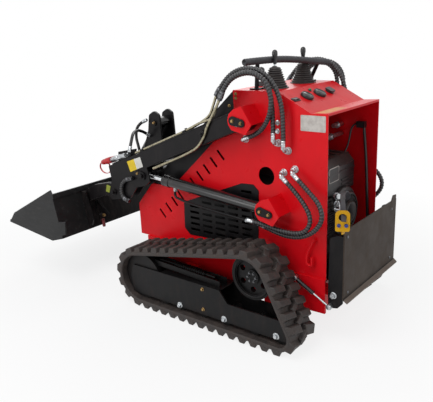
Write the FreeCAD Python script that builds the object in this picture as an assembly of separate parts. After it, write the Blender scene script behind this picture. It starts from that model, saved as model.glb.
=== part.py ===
import FreeCAD, Part
import math
import os

# Mini track loader. Millimetres. +X is forward, +Y is the machine's left, +Z is up.
# Along X the machine is laid out from the rear edge of the body (X = 0), and shifted at the end
# so that the middle of its whole length is X = 0. The ground is Z = 0.

V = FreeCAD.Vector
os.makedirs("parts", exist_ok=True)

# ---------------------------------------------------------------- driving sizes
# Body of bent sheet steel
body_width = 490.0
panel = 4.0
rail_top = 298.0            # top of the thick lower side rail, where the thin side panel starts
rail_bottom = 135.0
rail_wall = 12.0
rail_proud = 8.0            # how far the rail stands out past the side panel
visor_height = 1006.0
visor_length = 76.0
deck_height = 1085.0
deck_rear = 233.0
deck_front = 464.0
shoulder_height = 958.0     # where the side panel's front edge turns into the long diagonal
ledge_height = 592.0
ledge_rear = 862.0
nose_top_x = 1005.0
nose_front_x = 1115.0
nose_front_height = 468.0
hood_foot = 298.0           # lower edge of the hood's front face
rail_front = 1060.0
rail_toe = 178.0            # where the rails' sloping lower front corner ends
hood_wall = 3.0
hood_gap = 1.0              # hood side walls stand this far inside the red panels
floor_wall = 8.0
engine_hole_radius = 41.0
engine_hole = (296.0, 719.0)

# Tracks
track_width = 180.0
track_stand_off = 44.0      # between the side panel and the belt
track_gauge_out = body_width / 2 + track_stand_off + track_width    # outer face of the belt
belt = 20.0
lug_height = 22.0
lug_pitch = 60.0
lug_base = 34.0
lug_top = 24.0
belt_gap = 0.5              # running gap between wheels and belt
idler_radius = 118.0
idler_x = 930.0
tail_radius = 47.0
tail_x = 111.0
sprocket_radius = 106.0
sprocket_x = 281.0
sprocket_height = 298.0
roller_radius = 34.0
roller_places = (250.0, 408.0, 543.0, 679.0, 790.0)
wheel_rim = 30.0            # width of each of a wheel's two rims
guide_gap = 44.0            # space between the rims for the belt's guide teeth
axle_radius = 15.0
track_frame_half = 61.0     # half width of the box frame inside the track
track_frame_top = 212.0
track_frame_wall = 8.0

# Lift arms
pivot = (380.0, 960.0)      # arm pivot (X, Z)
arm_clearance = 17.0        # between the side panel and the arm
arm_beam = 60.0             # width of the arm's box beam
arm_in = body_width / 2 + arm_clearance
arm_out = arm_in + arm_beam
arm_wall = 8.0
arm_slope = 0.396           # fall of the arm's top edge per millimetre forward
arm_depth = 88.0            # upright depth of the beam
arm_hub_radius = 46.0
pin_radius = 17.0
pin_fit = 0.05              # radial clearance of pins in their bores
arm_end_x = 1243.0
hitch_pin = (1215.0, 535.0)
rod_pin = (1003.0, 650.0)
cross_tube = (1235.0, 560.0)
cross_tube_radius = 26.0
cross_tube_wall = 6.0

# Pivot brackets, the same bent plate used twice on each side
bracket_stand_off = 18.0    # between the arm and the bracket's outer face
bracket_face = arm_out + bracket_stand_off
bracket_plate = 8.0
cylinder_pin = (250.0, 579.0)

# Lift cylinders
lift_axis_y = (arm_in + arm_out) / 2
lift_tube_radius = 26.0
lift_rod_radius = 11.0
lift_eye_radius = 30.0
lift_eye_width = 34.0
lift_tube_length = 618.0
lift_rod_engaged = 430.0    # rod inside the tube at rest, past the gland
rod_fit = 0.1

# Tilt tower and cylinder
tower_pin = (1145.0, 868.0)
tower_half_in = 46.0
tower_plate = 12.0
tilt_tube_radius = 29.0
tilt_rod_radius = 14.0
tilt_eye_radius = 27.0
tilt_tube_length = 238.0
tilt_lug_radius = 155.6
tilt_lug_angle = 25.2
tilt_rod_engaged = 128.0

# Quick hitch and bucket
bucket_half = 520.0
bucket_wall = 8.0
bucket_peak = (1508.0, 550.0)       # where a cheek's rear edge meets its sloping top edge
bucket_back_top = (1497.0, 530.0)
bucket_heel = (1445.0, 285.0)
bucket_floor = (1541.0, 255.0)
bucket_lip = (1945.0, 295.0)
bucket_nose = (1888.0, 361.0)
lip_wall = 14.0
lip_depth = 130.0
back_band = 25.0            # height of the flat bar along the back's upper edge
hitch_plate = 12.0
hitch_gap = 2.0             # between the bucket's back and the hitch
hitch_overhang = 11.0       # how far the hitch reaches past the arms
hitch_half = arm_out + hitch_overhang
hitch_top = 502.0
hitch_bottom = 300.0
ear_width = 34.0

# Stand-on platform, folded up against the rear
platform_hinge = (-46.0, 245.0)
platform_panel_x = -93.0
platform_low = 236.0
platform_high = 543.0
platform_overhang = 23.0    # how far the platform reaches past the side panels
platform_half = body_width / 2 + platform_overhang
platform_plate = 5.0
platform_lip = 17.0
platform_arm_in = platform_half - 9.0
mat_thickness = 3.0
mat_half = platform_arm_in - 14.0
mat_edge = 12.0
hinge_bar_radius = 14.0
hinge_lug_radius = 24.0
hinge_lug_inset = 17.0      # of the hinge lugs from the side panels
hinge_lug_out = body_width / 2 - hinge_lug_inset
strut_rear = (-32.0, 192.0)
strut_front = (135.0, 287.0)
strut_stand_off = 30.0      # between the side panel and the strut's axis
strut_y = body_width / 2 + strut_stand_off
strut_tube_radius = 9.0
strut_rod_radius = 4.5
strut_eye_radius = 12.0

# Engine
engine_top = 590.0          # upper face of the engine block, under its cover

# Console
stick_x = 325.0
stick_y = 120.0
stick_top = 1246.0
boot_radius = 47.0
boot_height = 88.0

# Hoses
hose_radius = 11.0
pipe_radius = 6.0
fitting_stand_off = 40.0    # of the elbow fittings' axes from the side panels
fitting_reach = body_width / 2 + fitting_stand_off


# ---------------------------------------------------------------- drawing helpers
def xz(x, z, y=0.0):
    return V(x, y, z)


def corner(before, here, after, radius):
    """Tangent points and middle point of a fillet at a corner of an outline in X and Z."""
    a = V(before[0] - here[0], 0, before[1] - here[1]).normalize()
    b = V(after[0] - here[0], 0, after[1] - here[1]).normalize()
    half = 0.5 * a.getAngle(b)
    reach = radius / math.tan(half)
    middle = (a + b).normalize()
    centre = xz(*here) + middle * (radius / math.sin(half))
    return xz(*here) + a * reach, centre - middle * radius, xz(*here) + b * reach


def outline(points, radii=0.0, y=0.0):
    """Closed wire in the XZ plane at y, with each corner rounded by its radius."""
    count = len(points)
    if not isinstance(radii, (list, tuple)):
        radii = [radii] * count
    stops = []
    for i, here in enumerate(points):
        if radii[i] > 0:
            stops.append(corner(points[i - 1], here, points[(i + 1) % count], radii[i]))
        else:
            stops.append((xz(*here),))
    edges = []
    for i, stop in enumerate(stops):
        if len(stop) == 3:
            edges.append(Part.Arc(*stop).toShape())
        start, end = stop[-1], stops[(i + 1) % count][0]
        if (end - start).Length > 1e-6:
            edges.append(Part.LineSegment(start, end).toShape())
    wire = Part.Wire(edges)
    wire.translate(V(0, y, 0))
    return wire


def plate(points, y_from, y_to, radii=0.0):
    """Flat plate: an outline in X and Z, thick from y_from to y_to."""
    face = Part.Face(outline(points, radii, y_from))
    return face.extrude(V(0, y_to - y_from, 0))


def block(x_from, x_to, y_from, y_to, z_from, z_to):
    return Part.makeBox(x_to - x_from, y_to - y_from, z_to - z_from, V(x_from, y_from, z_from))


def round_y(centre, radius, y_from, y_to):
    """Cylinder along Y round the point centre = (X, Z)."""
    return Part.makeCylinder(radius, y_to - y_from, V(centre[0], y_from, centre[1]), V(0, 1, 0))


def strip(points, wall, y_from, y_to):
    """Bent sheet: a line of points in X and Z, wall thick to its right, from y_from to y_to."""
    inner = []
    for i, here in enumerate(points):
        normals = []
        for a, b in ((i - 1, i), (i, i + 1)):
            if 0 <= a and b < len(points):
                dx, dz = points[b][0] - points[a][0], points[b][1] - points[a][1]
                length = math.hypot(dx, dz)
                normals.append((dz / length, -dx / length))
        nx = sum(n[0] for n in normals)
        nz = sum(n[1] for n in normals)
        scale = len(normals) * wall / (nx * nx + nz * nz)
        inner.append((here[0] + nx * scale, here[1] + nz * scale))
    return plate(list(points) + inner[::-1], y_from, y_to)


def fuse(shapes):
    return shapes[0].multiFuse(shapes[1:]).removeSplitter()


def mirrored(shape):
    """The same piece on the machine's right side."""
    return shape.mirror(V(0, 0, 0), V(0, 1, 0))


def along(start, end, distance):
    """Point that many millimetres from start towards end, both (X, Z)."""
    length = math.dist(start, end)
    share = distance / length
    return (start[0] + (end[0] - start[0]) * share, start[1] + (end[1] - start[1]) * share)


def rod(start, end, radius, y):
    """Round bar in the XZ plane at y between two (X, Z) points."""
    a, b = xz(*start, y), xz(*end, y)
    return Part.makeCylinder(radius, (b - a).Length, a, b - a)


def tube(points, radius, name):
    """Round hose or pipe along 3-D points: straight runs joined by tangent arcs."""
    points = [V(*p) for p in points]
    here = points[0]
    edges = []
    length, tightest = 0.0, math.inf
    for before, bend_at, after in zip(points, points[1:], points[2:]):
        a, b = before - bend_at, after - bend_at
        turn = math.pi - a.getAngle(b)
        reach = 0.45 * min(a.Length, b.Length)
        bend = reach / math.tan(turn / 2)
        a, b = a.normalize(), b.normalize()
        to_middle = bend / math.cos(turn / 2) - bend
        first, last = bend_at + a * reach, bend_at + b * reach
        edges.append(Part.LineSegment(here, first).toShape())
        edges.append(Part.Arc(first, bend_at + (a + b).normalize() * to_middle, last).toShape())
        length += (first - here).Length + bend * turn
        tightest = min(tightest, bend)
        here = last
    edges.append(Part.LineSegment(here, points[-1]).toShape())
    length += (points[-1] - here).Length
    ring = Part.Wire(Part.Circle(points[0], points[1] - points[0], radius).toShape())
    solid = Part.Wire(edges).makePipeShell([ring], True, False)
    ratio = solid.Volume / (math.pi * radius * radius * length)
    print(f"{name}: length {length:.0f}, tightest radius {tightest:.0f}, volume ratio {ratio:.4f}")
    return solid


# ---------------------------------------------------------------- body
def side_outline():
    """Outline of the red side panel above the rail."""
    slope = (shoulder_height - ledge_height) / (ledge_rear - deck_front + 4)
    foot = ledge_rear
    shoulder_x = foot - (shoulder_height - ledge_height) / slope
    return [
        (0, rail_top), (0, visor_height), (visor_length, visor_height - 4), (deck_rear, deck_height),
        (deck_front, deck_height), (shoulder_x, shoulder_height), (foot, ledge_height),
        (nose_top_x, ledge_height), (nose_front_x, nose_front_height), (nose_front_x, rail_top),
    ]


grille_outline = [(345, 372), (760, 358), (793, 390), (789, 525), (431, 668), (366, 671), (337, 645)]
grille_radii = [12, 12, 12, 14, 14, 12, 10]


def louvre_slots():
    """Row of slots cut square to the diagonal edge."""
    count, first, last = 10, (944, 440), (546, 787)
    length, width = 57.0, 12.0
    slots = []
    for i in range(count):
        share = i / (count - 1)
        x = first[0] + (last[0] - first[0]) * share
        z = first[1] + (last[1] - first[1]) * share
        slot = Part.makeBox(length, 4 * panel, width, V(-length / 2, -2 * panel, -width / 2))
        slot.rotate(V(0, 0, 0), V(0, 1, 0), -48)
        slot.translate(V(x, body_width / 2, z))
        slots.append(slot)
    return slots


def body_side():
    out = body_width / 2
    sheet = plate(side_outline(), out - panel, out)
    hole = round_y(engine_hole, engine_hole_radius, out - 2 * panel, out + panel)
    middle, share = (566.0, 512.0), 0.965
    window = [(middle[0] + (x - middle[0]) * share, middle[1] + (z - middle[1]) * share)
              for x, z in grille_outline]
    opening = plate(window, out - 2 * panel, out + panel, 8)
    return sheet.cut([hole, opening] + louvre_slots())


def side_grille():
    """Black louvred plate over the panel's window, with rows of slots."""
    out = body_width / 2
    sheet = plate(grille_outline, out, out + 2.5, grille_radii)
    slots = []
    row_pitch, slot_height = 30.0, 12.0
    column_pitch, slot_length = 79.0, 58.0
    for row in range(9):
        z = 386 + row * row_pitch
        for column in range(5):
            x = 376 + column * column_pitch
            top_here = 645 - 0.4 * max(0, x + slot_length - 440)
            if z + slot_height < top_here:
                slots.append(block(x, x + slot_length, out - 1, out + 4, z, z + slot_height))
    return sheet.cut(slots)


def hood_line():
    return [(deck_front + 3, deck_height - 4), (nose_top_x, ledge_height + 8),
            (nose_front_x - 1, nose_front_height + 4), (nose_front_x - 1, hood_foot)]


def hood():
    """Black sloping cover from the deck down to the nose, with side walls inside the red panels."""
    half = body_width / 2 - panel - hood_gap
    top = strip(hood_line(), hood_wall, -half, half)
    side = [(deck_front + 2, deck_height - 8), (nose_top_x - 1, ledge_height + 4),
            (nose_front_x - 4, nose_front_height), (nose_front_x - 4, nose_front_height - 40),
            (ledge_rear, ledge_height - 40), (deck_front + 2, shoulder_height - 40)]
    walls = [plate(side, y, y + hood_wall) for y in (-half, half - hood_wall)]
    return fuse([top] + walls)


def console():
    """Red deck, sloping instrument panel and visor, one bent sheet between the side panels."""
    half = body_width / 2 - panel
    line = [(0, visor_height - 10), (0, visor_height), (visor_length, visor_height - 4),
            (deck_rear, deck_height), (deck_front - 1, deck_height)]
    return strip(line, panel, -half, half)


def chassis():
    """Welded lower frame: two thick rails, a floor, a rear sill and two cross beams to the tracks."""
    out = body_width / 2 + rail_proud
    rail = [(0, 139), (125, rail_bottom), (985, rail_bottom), (rail_front, rail_toe),
            (rail_front, rail_top), (0, rail_top)]
    rails = [plate(rail, y, y + rail_wall) for y in (-out, out - rail_wall)]
    inner = out - rail_wall
    bottom = block(20, 985, -inner, inner, 143, 143 + floor_wall)
    sill = block(20, 20 + floor_wall, -inner, inner, 151, 270)
    reach = track_gauge_out - track_width / 2 - track_frame_half
    beams = [block(x, x + 80, -reach, reach, 151, 205) for x in (190, 700)]
    bar = round_y((rail_front - 20, 270), 9, -inner, inner)
    lugs = []
    hx, hz = platform_hinge
    for y in (-hinge_lug_out, hinge_lug_out - 12):
        r = hinge_lug_radius
        shape = [(24, hz - r), (24, hz + r), (hx - r, hz + r), (hx - r, hz - r)]
        lug = plate(shape, y, y + 12, [0, 0, r - 1, r - 1])
        lugs.append(lug.cut(round_y(platform_hinge, hinge_bar_radius + pin_fit, y - 1, y + 13)))
    return fuse(rails + [bottom, sill, bar] + beams + lugs)


# ---------------------------------------------------------------- engine
def engine_block():
    return block(96, 470, -165, 165, 210, engine_top)


def engine_cover():
    """Air cleaner and shroud on top of the engine, seen through the open rear."""
    low, high = engine_top + 2, engine_top + 170
    line = [(97, low), (400, low), (400, high - 45), (330, high), (130, high), (97, high - 40)]
    return plate(line, -205, 150, 12)


def recoil_starter():
    """Round ribbed starter housing on the engine's rear face."""
    drum = Part.makeCylinder(92, 38, V(94, -84, 505), V(-1, 0, 0))
    cap = Part.makeCylinder(52, 14, V(56.5, -84, 505), V(-1, 0, 0))
    return fuse([drum, cap])


# ---------------------------------------------------------------- tracks
def wheels():
    """The four places where the belt turns, (X, Z, radius), going rearward along the ground first."""
    ground = belt + lug_height
    return [
        (idler_x, ground + idler_radius, idler_radius),
        (tail_x, ground + tail_radius, tail_radius),
        (sprocket_x, sprocket_height, sprocket_radius),
    ]


def belt_runs(offset):
    """Straight runs of the belt loop, offset outside the wheels: (start, end) points in X and Z."""
    runs = []
    round_list = wheels()
    for i, (x1, z1, r1) in enumerate(round_list):
        x2, z2, r2 = round_list[(i + 1) % len(round_list)]
        dx, dz = x2 - x1, z2 - z1
        length = math.hypot(dx, dz)
        ux, uz = dx / length, dz / length
        lean = (r1 - r2) / length
        rise = math.sqrt(1 - lean * lean)
        nx, nz = lean * ux - rise * uz, lean * uz + rise * ux
        runs.append(((x1 + (r1 + offset) * nx, z1 + (r1 + offset) * nz),
                     (x2 + (r2 + offset) * nx, z2 + (r2 + offset) * nz), (nx, nz)))
    return runs


def belt_stretches(offset):
    """Lines and arcs of the loop in order: ("line", a, b, normal) or ("arc", centre, radius, n1, n2)."""
    runs = belt_runs(offset)
    parts = []
    for i, (a, b, n) in enumerate(runs):
        following = runs[(i + 1) % len(runs)]
        x, z, r = wheels()[(i + 1) % len(runs)]
        parts.append(("line", a, b, n))
        parts.append(("arc", (x, z), r + offset, n, following[2]))
    return parts


def turn_between(n1, n2):
    return math.acos(max(-1.0, min(1.0, n1[0] * n2[0] + n1[1] * n2[1])))


def belt_length(offset):
    total = 0.0
    for part in belt_stretches(offset):
        if part[0] == "line":
            total += math.dist(part[1], part[2])
        else:
            total += part[2] * turn_between(part[3], part[4])
    return total


def belt_point(distance):
    """Point on the wheels' surface line at that distance round the loop, and the outward normal."""
    for part in belt_stretches(0.0):
        if part[0] == "line":
            length = math.dist(part[1], part[2])
            if distance <= length:
                return along(part[1], part[2], distance), part[3]
        else:
            length = part[2] * turn_between(part[3], part[4])
            if distance <= length:
                angle = math.atan2(part[3][1], part[3][0]) - distance / part[2]
                n = (math.cos(angle), math.sin(angle))
                return (part[1][0] + part[2] * n[0], part[1][1] + part[2] * n[1]), n
        distance -= length
    return belt_point(distance)


def inner_wire(offset, y):
    edges = []
    for part in belt_stretches(offset):
        if part[0] == "line":
            edges.append(Part.LineSegment(xz(*part[1], y), xz(*part[2], y)).toShape())
        else:
            (x, z), r, n1, n2 = part[1:]
            middle = V(n1[0] + n2[0], 0, n1[1] + n2[1]).normalize() * r
            ends = [xz(x + r * n[0], z + r * n[1], y) for n in (n1, n2)]
            edges.append(Part.Arc(ends[0], xz(x, z, y) + middle, ends[1]).toShape())
    return Part.Wire(edges)


def track_loop():
    """Rubber belt with its lugs in the outline, one closed loop."""
    total = belt_length(0.0)
    count = round(total / lug_pitch)
    pitch = total / count
    points = []
    for i in range(count):
        middle = i * pitch + pitch / 2
        for shift, height in ((-lug_base, belt), (-lug_top, belt + lug_height),
                              (lug_top, belt + lug_height), (lug_base, belt)):
            (x, z), n = belt_point((middle + shift / 2) % total)
            points.append(V(x + height * n[0], track_gauge_out - track_width, z + height * n[1]))
    outer = Part.Face(Part.makePolygon(points + [points[0]]))
    inner = Part.Face(inner_wire(0.0, track_gauge_out - track_width))
    print(f"track: {count} lugs, pitch {pitch:.2f}, loop {total:.1f}")
    across = V(0, track_width, 0)
    return outer.extrude(across).cut(inner.extrude(across))


def track_middle():
    return track_gauge_out - track_width / 2


def twin_wheel(centre, radius):
    """Wheel with two rims and a slim hub, so the belt's guide teeth pass between the rims."""
    y = track_middle()
    half = guide_gap / 2
    rims = [round_y(centre, radius, y + s * half - (wheel_rim if s < 0 else 0),
                    y + s * half + (0 if s < 0 else wheel_rim)) for s in (-1, 1)]
    hub = round_y(centre, radius - 26 if radius > 60 else radius - 18, y - half - 1, y + half + 1)
    bore = round_y(centre, axle_radius + pin_fit, y - half - wheel_rim - 1, y + half + wheel_rim + 1)
    return fuse(rims + [hub]).cut(bore)


def track_wheels():
    """Front idler, tail wheel and bottom rollers: separate wheels that don't touch."""
    ground = belt + lug_height + belt_gap
    made = [twin_wheel((idler_x, ground - belt_gap + idler_radius), idler_radius - belt_gap)]
    made.append(twin_wheel((tail_x, ground - belt_gap + tail_radius), tail_radius - belt_gap))
    for x in roller_places:
        made.append(twin_wheel((x, ground + roller_radius), roller_radius))
    return Part.makeCompound(made)


def drive_sprocket():
    """Drive wheel with lightening holes, on the drive motor's round hub."""
    centre = (sprocket_x, sprocket_height)
    y = track_middle()
    disc = round_y(centre, sprocket_radius - belt_gap, y - 20, y + 20)
    dish = round_y(centre, sprocket_radius - 24, y + 8, y + 21)
    holes = []
    for i in range(6):
        angle = math.radians(60 * i + 30)
        place = (centre[0] + 62 * math.cos(angle), centre[1] + 62 * math.sin(angle))
        holes.append(round_y(place, 14, y - 21, y + 21))
    hub = round_y(centre, 34, body_width / 2 + rail_proud, y + 16)
    return fuse([disc.cut([dish] + holes), hub])


def track_frame():
    """Box frame inside the belt: two cheek plates, a top plate, wheel axles and the idler's slide."""
    y = track_middle()
    half = track_frame_half
    t = track_frame_wall
    low = belt + lug_height + 20
    cheek = [(80, low), (1000, low), (1012, 150), (990, track_frame_top), (434, track_frame_top),
             (388, 155), (100, 155), (72, 110)]
    cheeks = [plate(cheek, y + s, y + s + t, 8) for s in (-half, half - t)]
    top = block(437, 800, y - half + t, y + half - t, track_frame_top - t, track_frame_top)
    ground = belt + lug_height + belt_gap
    axles = [(idler_x, ground - belt_gap + idler_radius), (tail_x, ground - belt_gap + tail_radius)]
    axles += [(x, ground + roller_radius) for x in roller_places]
    bars = [round_y(place, axle_radius, y - half + t / 2, y + half - t / 2) for place in axles]
    return fuse(cheeks + [top] + bars)


# ---------------------------------------------------------------- pivot brackets and pins
bracket_shape = [(-25, 71), (-76, -4), (-44, -50), (28, -32), (44, -10), (47, 10), (40, 35), (16, 56)]


def pivot_bracket(pin):
    """Bent plate standing off the body, with the pin's bore and an oval keeper plate."""
    out = body_width / 2
    points = [(pin[0] + x, pin[1] + z) for x, z in bracket_shape]
    face = plate(points, bracket_face - bracket_plate, bracket_face, 3)
    web = strip([points[0], points[1]], -6.0, out, bracket_face - bracket_plate / 2)
    bore = round_y(pin, pin_radius + pin_fit, bracket_face - 2 * bracket_plate, bracket_face + 1)
    return fuse([face, web]).cut(bore)


def keeper(pin):
    """Oval plate and its two bolts on the bracket's face."""
    ends = [(pin[0] - 27, pin[1]), (pin[0] + 17, pin[1] + 8)]
    y = bracket_face + 0.2
    body = fuse([round_y(ends[0], 17, y, y + 6), round_y(ends[1], 20, y, y + 6),
                 plate([(ends[0][0], ends[0][1] - 17), (ends[1][0], ends[1][1] - 20),
                        (ends[1][0], ends[1][1] + 20), (ends[0][0], ends[0][1] + 17)], y, y + 6)])
    bolts = [round_y(end, 7, y + 5, y + 12) for end in ends]
    return fuse([body] + bolts)


def pivot_pin(pin):
    return round_y(pin, pin_radius, body_width / 2, bracket_face - 0.1)


# ---------------------------------------------------------------- lift arm
def arm_top(x):
    """Height of the arm's top edge at x."""
    return pivot[1] + 46.0 - arm_slope * (x - pivot[0] - 20.0)


def arm_side_outline():
    """Side plate of the arm: a sloping beam that ends in a deep plate for the hitch and the rod."""
    start = pivot[0] + 22
    tail = 959.0
    return [
        (start, arm_top(start)), (arm_end_x, arm_top(arm_end_x)), (1229, 600), (1264, 508),
        (1240, 488), (1095, 518), (1040, 583), (975, 600), (944, 626), (947, 658),
        (tail, arm_top(tail) - arm_depth), (start, arm_top(start) - arm_depth),
    ]


def lift_arm():
    """Welded box beam: two side plates, top and bottom plates, pivot hub and pin holes."""
    shape = arm_side_outline()
    rounds = [10] + [0] * (len(shape) - 2) + [10]
    plates = [plate(shape, y, y + arm_wall, rounds) for y in (arm_in, arm_out - arm_wall)]
    covers = []
    for end, drop in ((990.0, 0.0), (870.0, arm_depth - arm_wall)):
        start = pivot[0] + 34
        covers.append(plate([(start, arm_top(start) - drop), (end, arm_top(end) - drop),
                             (end, arm_top(end) - drop - arm_wall),
                             (start, arm_top(start) - drop - arm_wall)], arm_in, arm_out))
    hub = round_y(pivot, arm_hub_radius, arm_in - 8, arm_out + 5)
    solid = fuse(plates + covers + [hub])
    bores = [round_y(pivot, pin_radius + pin_fit, arm_in - 20, arm_out + 20),
             round_y(hitch_pin, pin_radius, arm_in - 1, arm_out + 1)]
    return solid.cut(bores)


def arm_pin_caps():
    """Hitch pins through the arm ends, and the plates that close the rod pin holes."""
    made = []
    for side in (1, -1):
        pin = round_y(hitch_pin, pin_radius, arm_in, arm_out + 8)
        caps = [round_y(rod_pin, 24, arm_out, arm_out + 6), round_y(rod_pin, 20, arm_in - 6, arm_in)]
        for shape in [pin] + caps:
            made.append(shape if side > 0 else mirrored(shape))
    return Part.makeCompound(made)


def crossmember():
    """Round tube between the two arms."""
    outer = round_y(cross_tube, cross_tube_radius, -arm_in, arm_in)
    return outer.cut(round_y(cross_tube, cross_tube_radius - cross_tube_wall, -arm_in - 1, arm_in + 1))


def tilt_tower():
    """Two upright plates with rounded tops on the cross tube, which carry the tilt cylinder."""
    px, pz = tower_pin
    shape = [(px + 67, 560), (px + 67, 590), (px + 22, 668), (px - 50, 740), (px - 43, pz),
             (px - 40, pz + 46), (px - 4, pz + 66), (px + 36, pz + 42), (px + 50, 825),
             (px + 86, 738), (px + 128, 660), (px + 124, 600), (px + 112, 560)]
    rounds = [0, 10, 20, 10, 20, 20, 24, 20, 20, 20, 20, 20, 0]
    around = round_y(cross_tube, cross_tube_radius, -arm_in, arm_in)
    plates = [plate(shape, y, y + tower_plate, rounds)
              for y in (-tower_half_in - tower_plate, tower_half_in)]
    brace = strip([(px + 72, 604), (px + 84, 655)], 8, -tower_half_in, tower_half_in)
    reach = tower_half_in + tower_plate + 6
    pin = round_y(tower_pin, pin_radius, -reach, reach)
    return fuse(plates + [brace, pin]).cut(around)


def arm_pipes():
    """Steel pipes clamped to the arm: two along its top edge and one down its outer face."""
    made = []
    for i, (x, y, z) in enumerate([(516, arm_in + 33, 1068), (487, arm_in + 51, 1056)]):
        lift = 8.5
        made.append(tube([(x, y, z), (x + 41, y - 1, z - 92), (606 - 6 * i, y - 2, arm_top(606) + 20),
                          (690, y - 3, arm_top(690) + lift + 1), (860, y - 3, arm_top(860) + lift),
                          (1040, y - 4, arm_top(1040) + lift)], pipe_radius, f"arm pipe {i + 1}"))
    face = arm_out + pipe_radius + 1.5
    made.append(tube([(469, face + 2, 1056), (552, face + 1, 926), (569, face, 884), (611, face, 830),
                      (700, face, 785), (903, face, 701)], pipe_radius, "arm pipe 3"))
    return Part.makeCompound(made)


def coupler_block():
    """Plate on the left arm's front end with two quick couplers for the tools."""
    rear, front = 1085.0, 1215.0
    inner = arm_in + 6
    base = plate([(rear, arm_top(rear)), (front, arm_top(front)), (1212, 743), (1073, 773)],
                 inner, inner + 6, 3)
    foot = plate([(rear, arm_top(rear)), (front, arm_top(front)), (front, arm_top(front) + 6),
                  (rear, arm_top(rear) + 6)], inner, inner + 52)
    rest = plate([(1150, arm_top(1150)), (1160, arm_top(1160)), (1160, 727), (1150, 730)],
                 inner + 6, inner + 54)
    couplers = []
    for y in (inner + 20, inner + 46):
        couplers.append(Part.makeCylinder(11, 150, V(1112, y, 741), V(1, 0, -0.3)))
    return fuse([base, foot, rest] + couplers)


def tilt_hoses():
    """Two hoses from the tower's fittings, one down to the cross tube and one to the couplers."""
    first = tube([(1196, 72, 880), (1254, 76, 858), (1276, 80, 790), (1250, 84, 720), (1240, 84, 640),
                  (1240, 84, 600)], hose_radius - 3, "tilt hose 1")
    second = tube([(1176, 72, 800), (1190, 120, 838), (1160, 200, 842), (1114, 260, 822),
                   (1102, 293, 764)], hose_radius - 3, "tilt hose 2")
    return Part.makeCompound([first, second])


# ---------------------------------------------------------------- cylinders
def lift_barrel():
    """Lift cylinder tube with its base eye on the lower bracket's pin."""
    end = along(cylinder_pin, rod_pin, lift_tube_length)
    start = along(cylinder_pin, rod_pin, lift_eye_radius - 6)
    y = lift_axis_y
    eye = round_y(cylinder_pin, lift_eye_radius, y - lift_eye_width / 2, y + lift_eye_width / 2)
    body = rod(start, end, lift_tube_radius, y)
    gland = rod(along(cylinder_pin, rod_pin, lift_tube_length - 40), end, lift_tube_radius + 2, y)
    bore = rod(along(cylinder_pin, rod_pin, lift_tube_length - lift_rod_engaged - 60),
               along(cylinder_pin, rod_pin, lift_tube_length + 5), lift_rod_radius + rod_fit, y)
    pin_hole = round_y(cylinder_pin, pin_radius + pin_fit, y - 60, y + 60)
    return fuse([eye, body, gland]).cut([bore, pin_hole])


def lift_rod():
    """Chrome rod with its eye, which sits between the arm's end plates."""
    y = lift_axis_y
    start = along(cylinder_pin, rod_pin, lift_tube_length - lift_rod_engaged)
    end = along(cylinder_pin, rod_pin, math.dist(cylinder_pin, rod_pin) - 20)
    bar = rod(start, end, lift_rod_radius, y)
    eye = round_y(rod_pin, lift_eye_radius - 4, y - lift_eye_width / 2, y + lift_eye_width / 2)
    return fuse([bar, eye])


def cylinder_pipes():
    """Steel pipe from the lift cylinder's front port back along it, and its rear port's elbow."""
    y = lift_axis_y
    front = tube([(800, y, 604), (803, y + 5, 562), (706, y + 12, 546), (503, y + 16, 530),
                  (362, y + 16, 521)], pipe_radius, "cylinder pipe")
    rear = tube([(352, y - 8, 559), (350, y - 8, 524), (310, y - 8, 509)], pipe_radius + 2,
                "cylinder elbow")
    return Part.makeCompound([front, rear])


def tilt_lug():
    """Where the tilt rod is pinned to the hitch, (X, Z)."""
    angle = math.radians(tilt_lug_angle)
    return (hitch_pin[0] + tilt_lug_radius * math.cos(angle),
            hitch_pin[1] + tilt_lug_radius * math.sin(angle))


def tilt_barrel():
    lug = tilt_lug()
    start = along(tower_pin, lug, tilt_eye_radius - 5)
    end = along(tower_pin, lug, tilt_tube_length)
    eye = round_y(tower_pin, tilt_eye_radius, -tower_half_in + 2, tower_half_in - 2)
    body = rod(start, end, tilt_tube_radius, 0)
    ports = [Part.makeCylinder(9, 34, xz(*along(tower_pin, lug, d), 0), V(-0.6, 0.5, -0.6))
             for d in (58, tilt_tube_length - 28)]
    bore = rod(along(tower_pin, lug, 36), along(tower_pin, lug, tilt_tube_length + 5),
               tilt_rod_radius + rod_fit, 0)
    pin_hole = round_y(tower_pin, pin_radius + pin_fit, -80, 80)
    return fuse([eye, body] + ports).cut([bore, pin_hole])


def tilt_rod():
    lug = tilt_lug()
    total = math.dist(tower_pin, lug)
    bar = rod(along(tower_pin, lug, tilt_tube_length - tilt_rod_engaged), along(tower_pin, lug, total - 18),
              tilt_rod_radius, 0)
    eye = round_y(lug, tilt_eye_radius - 2, -18, 18)
    return fuse([bar, eye])


# ---------------------------------------------------------------- quick hitch and bucket
def back_point(height, behind):
    """Point on the bucket's back plane at that height, moved rearward by behind."""
    share = (height - bucket_heel[1]) / (bucket_back_top[1] - bucket_heel[1])
    return (bucket_heel[0] + (bucket_back_top[0] - bucket_heel[0]) * share - behind, height)


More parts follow.
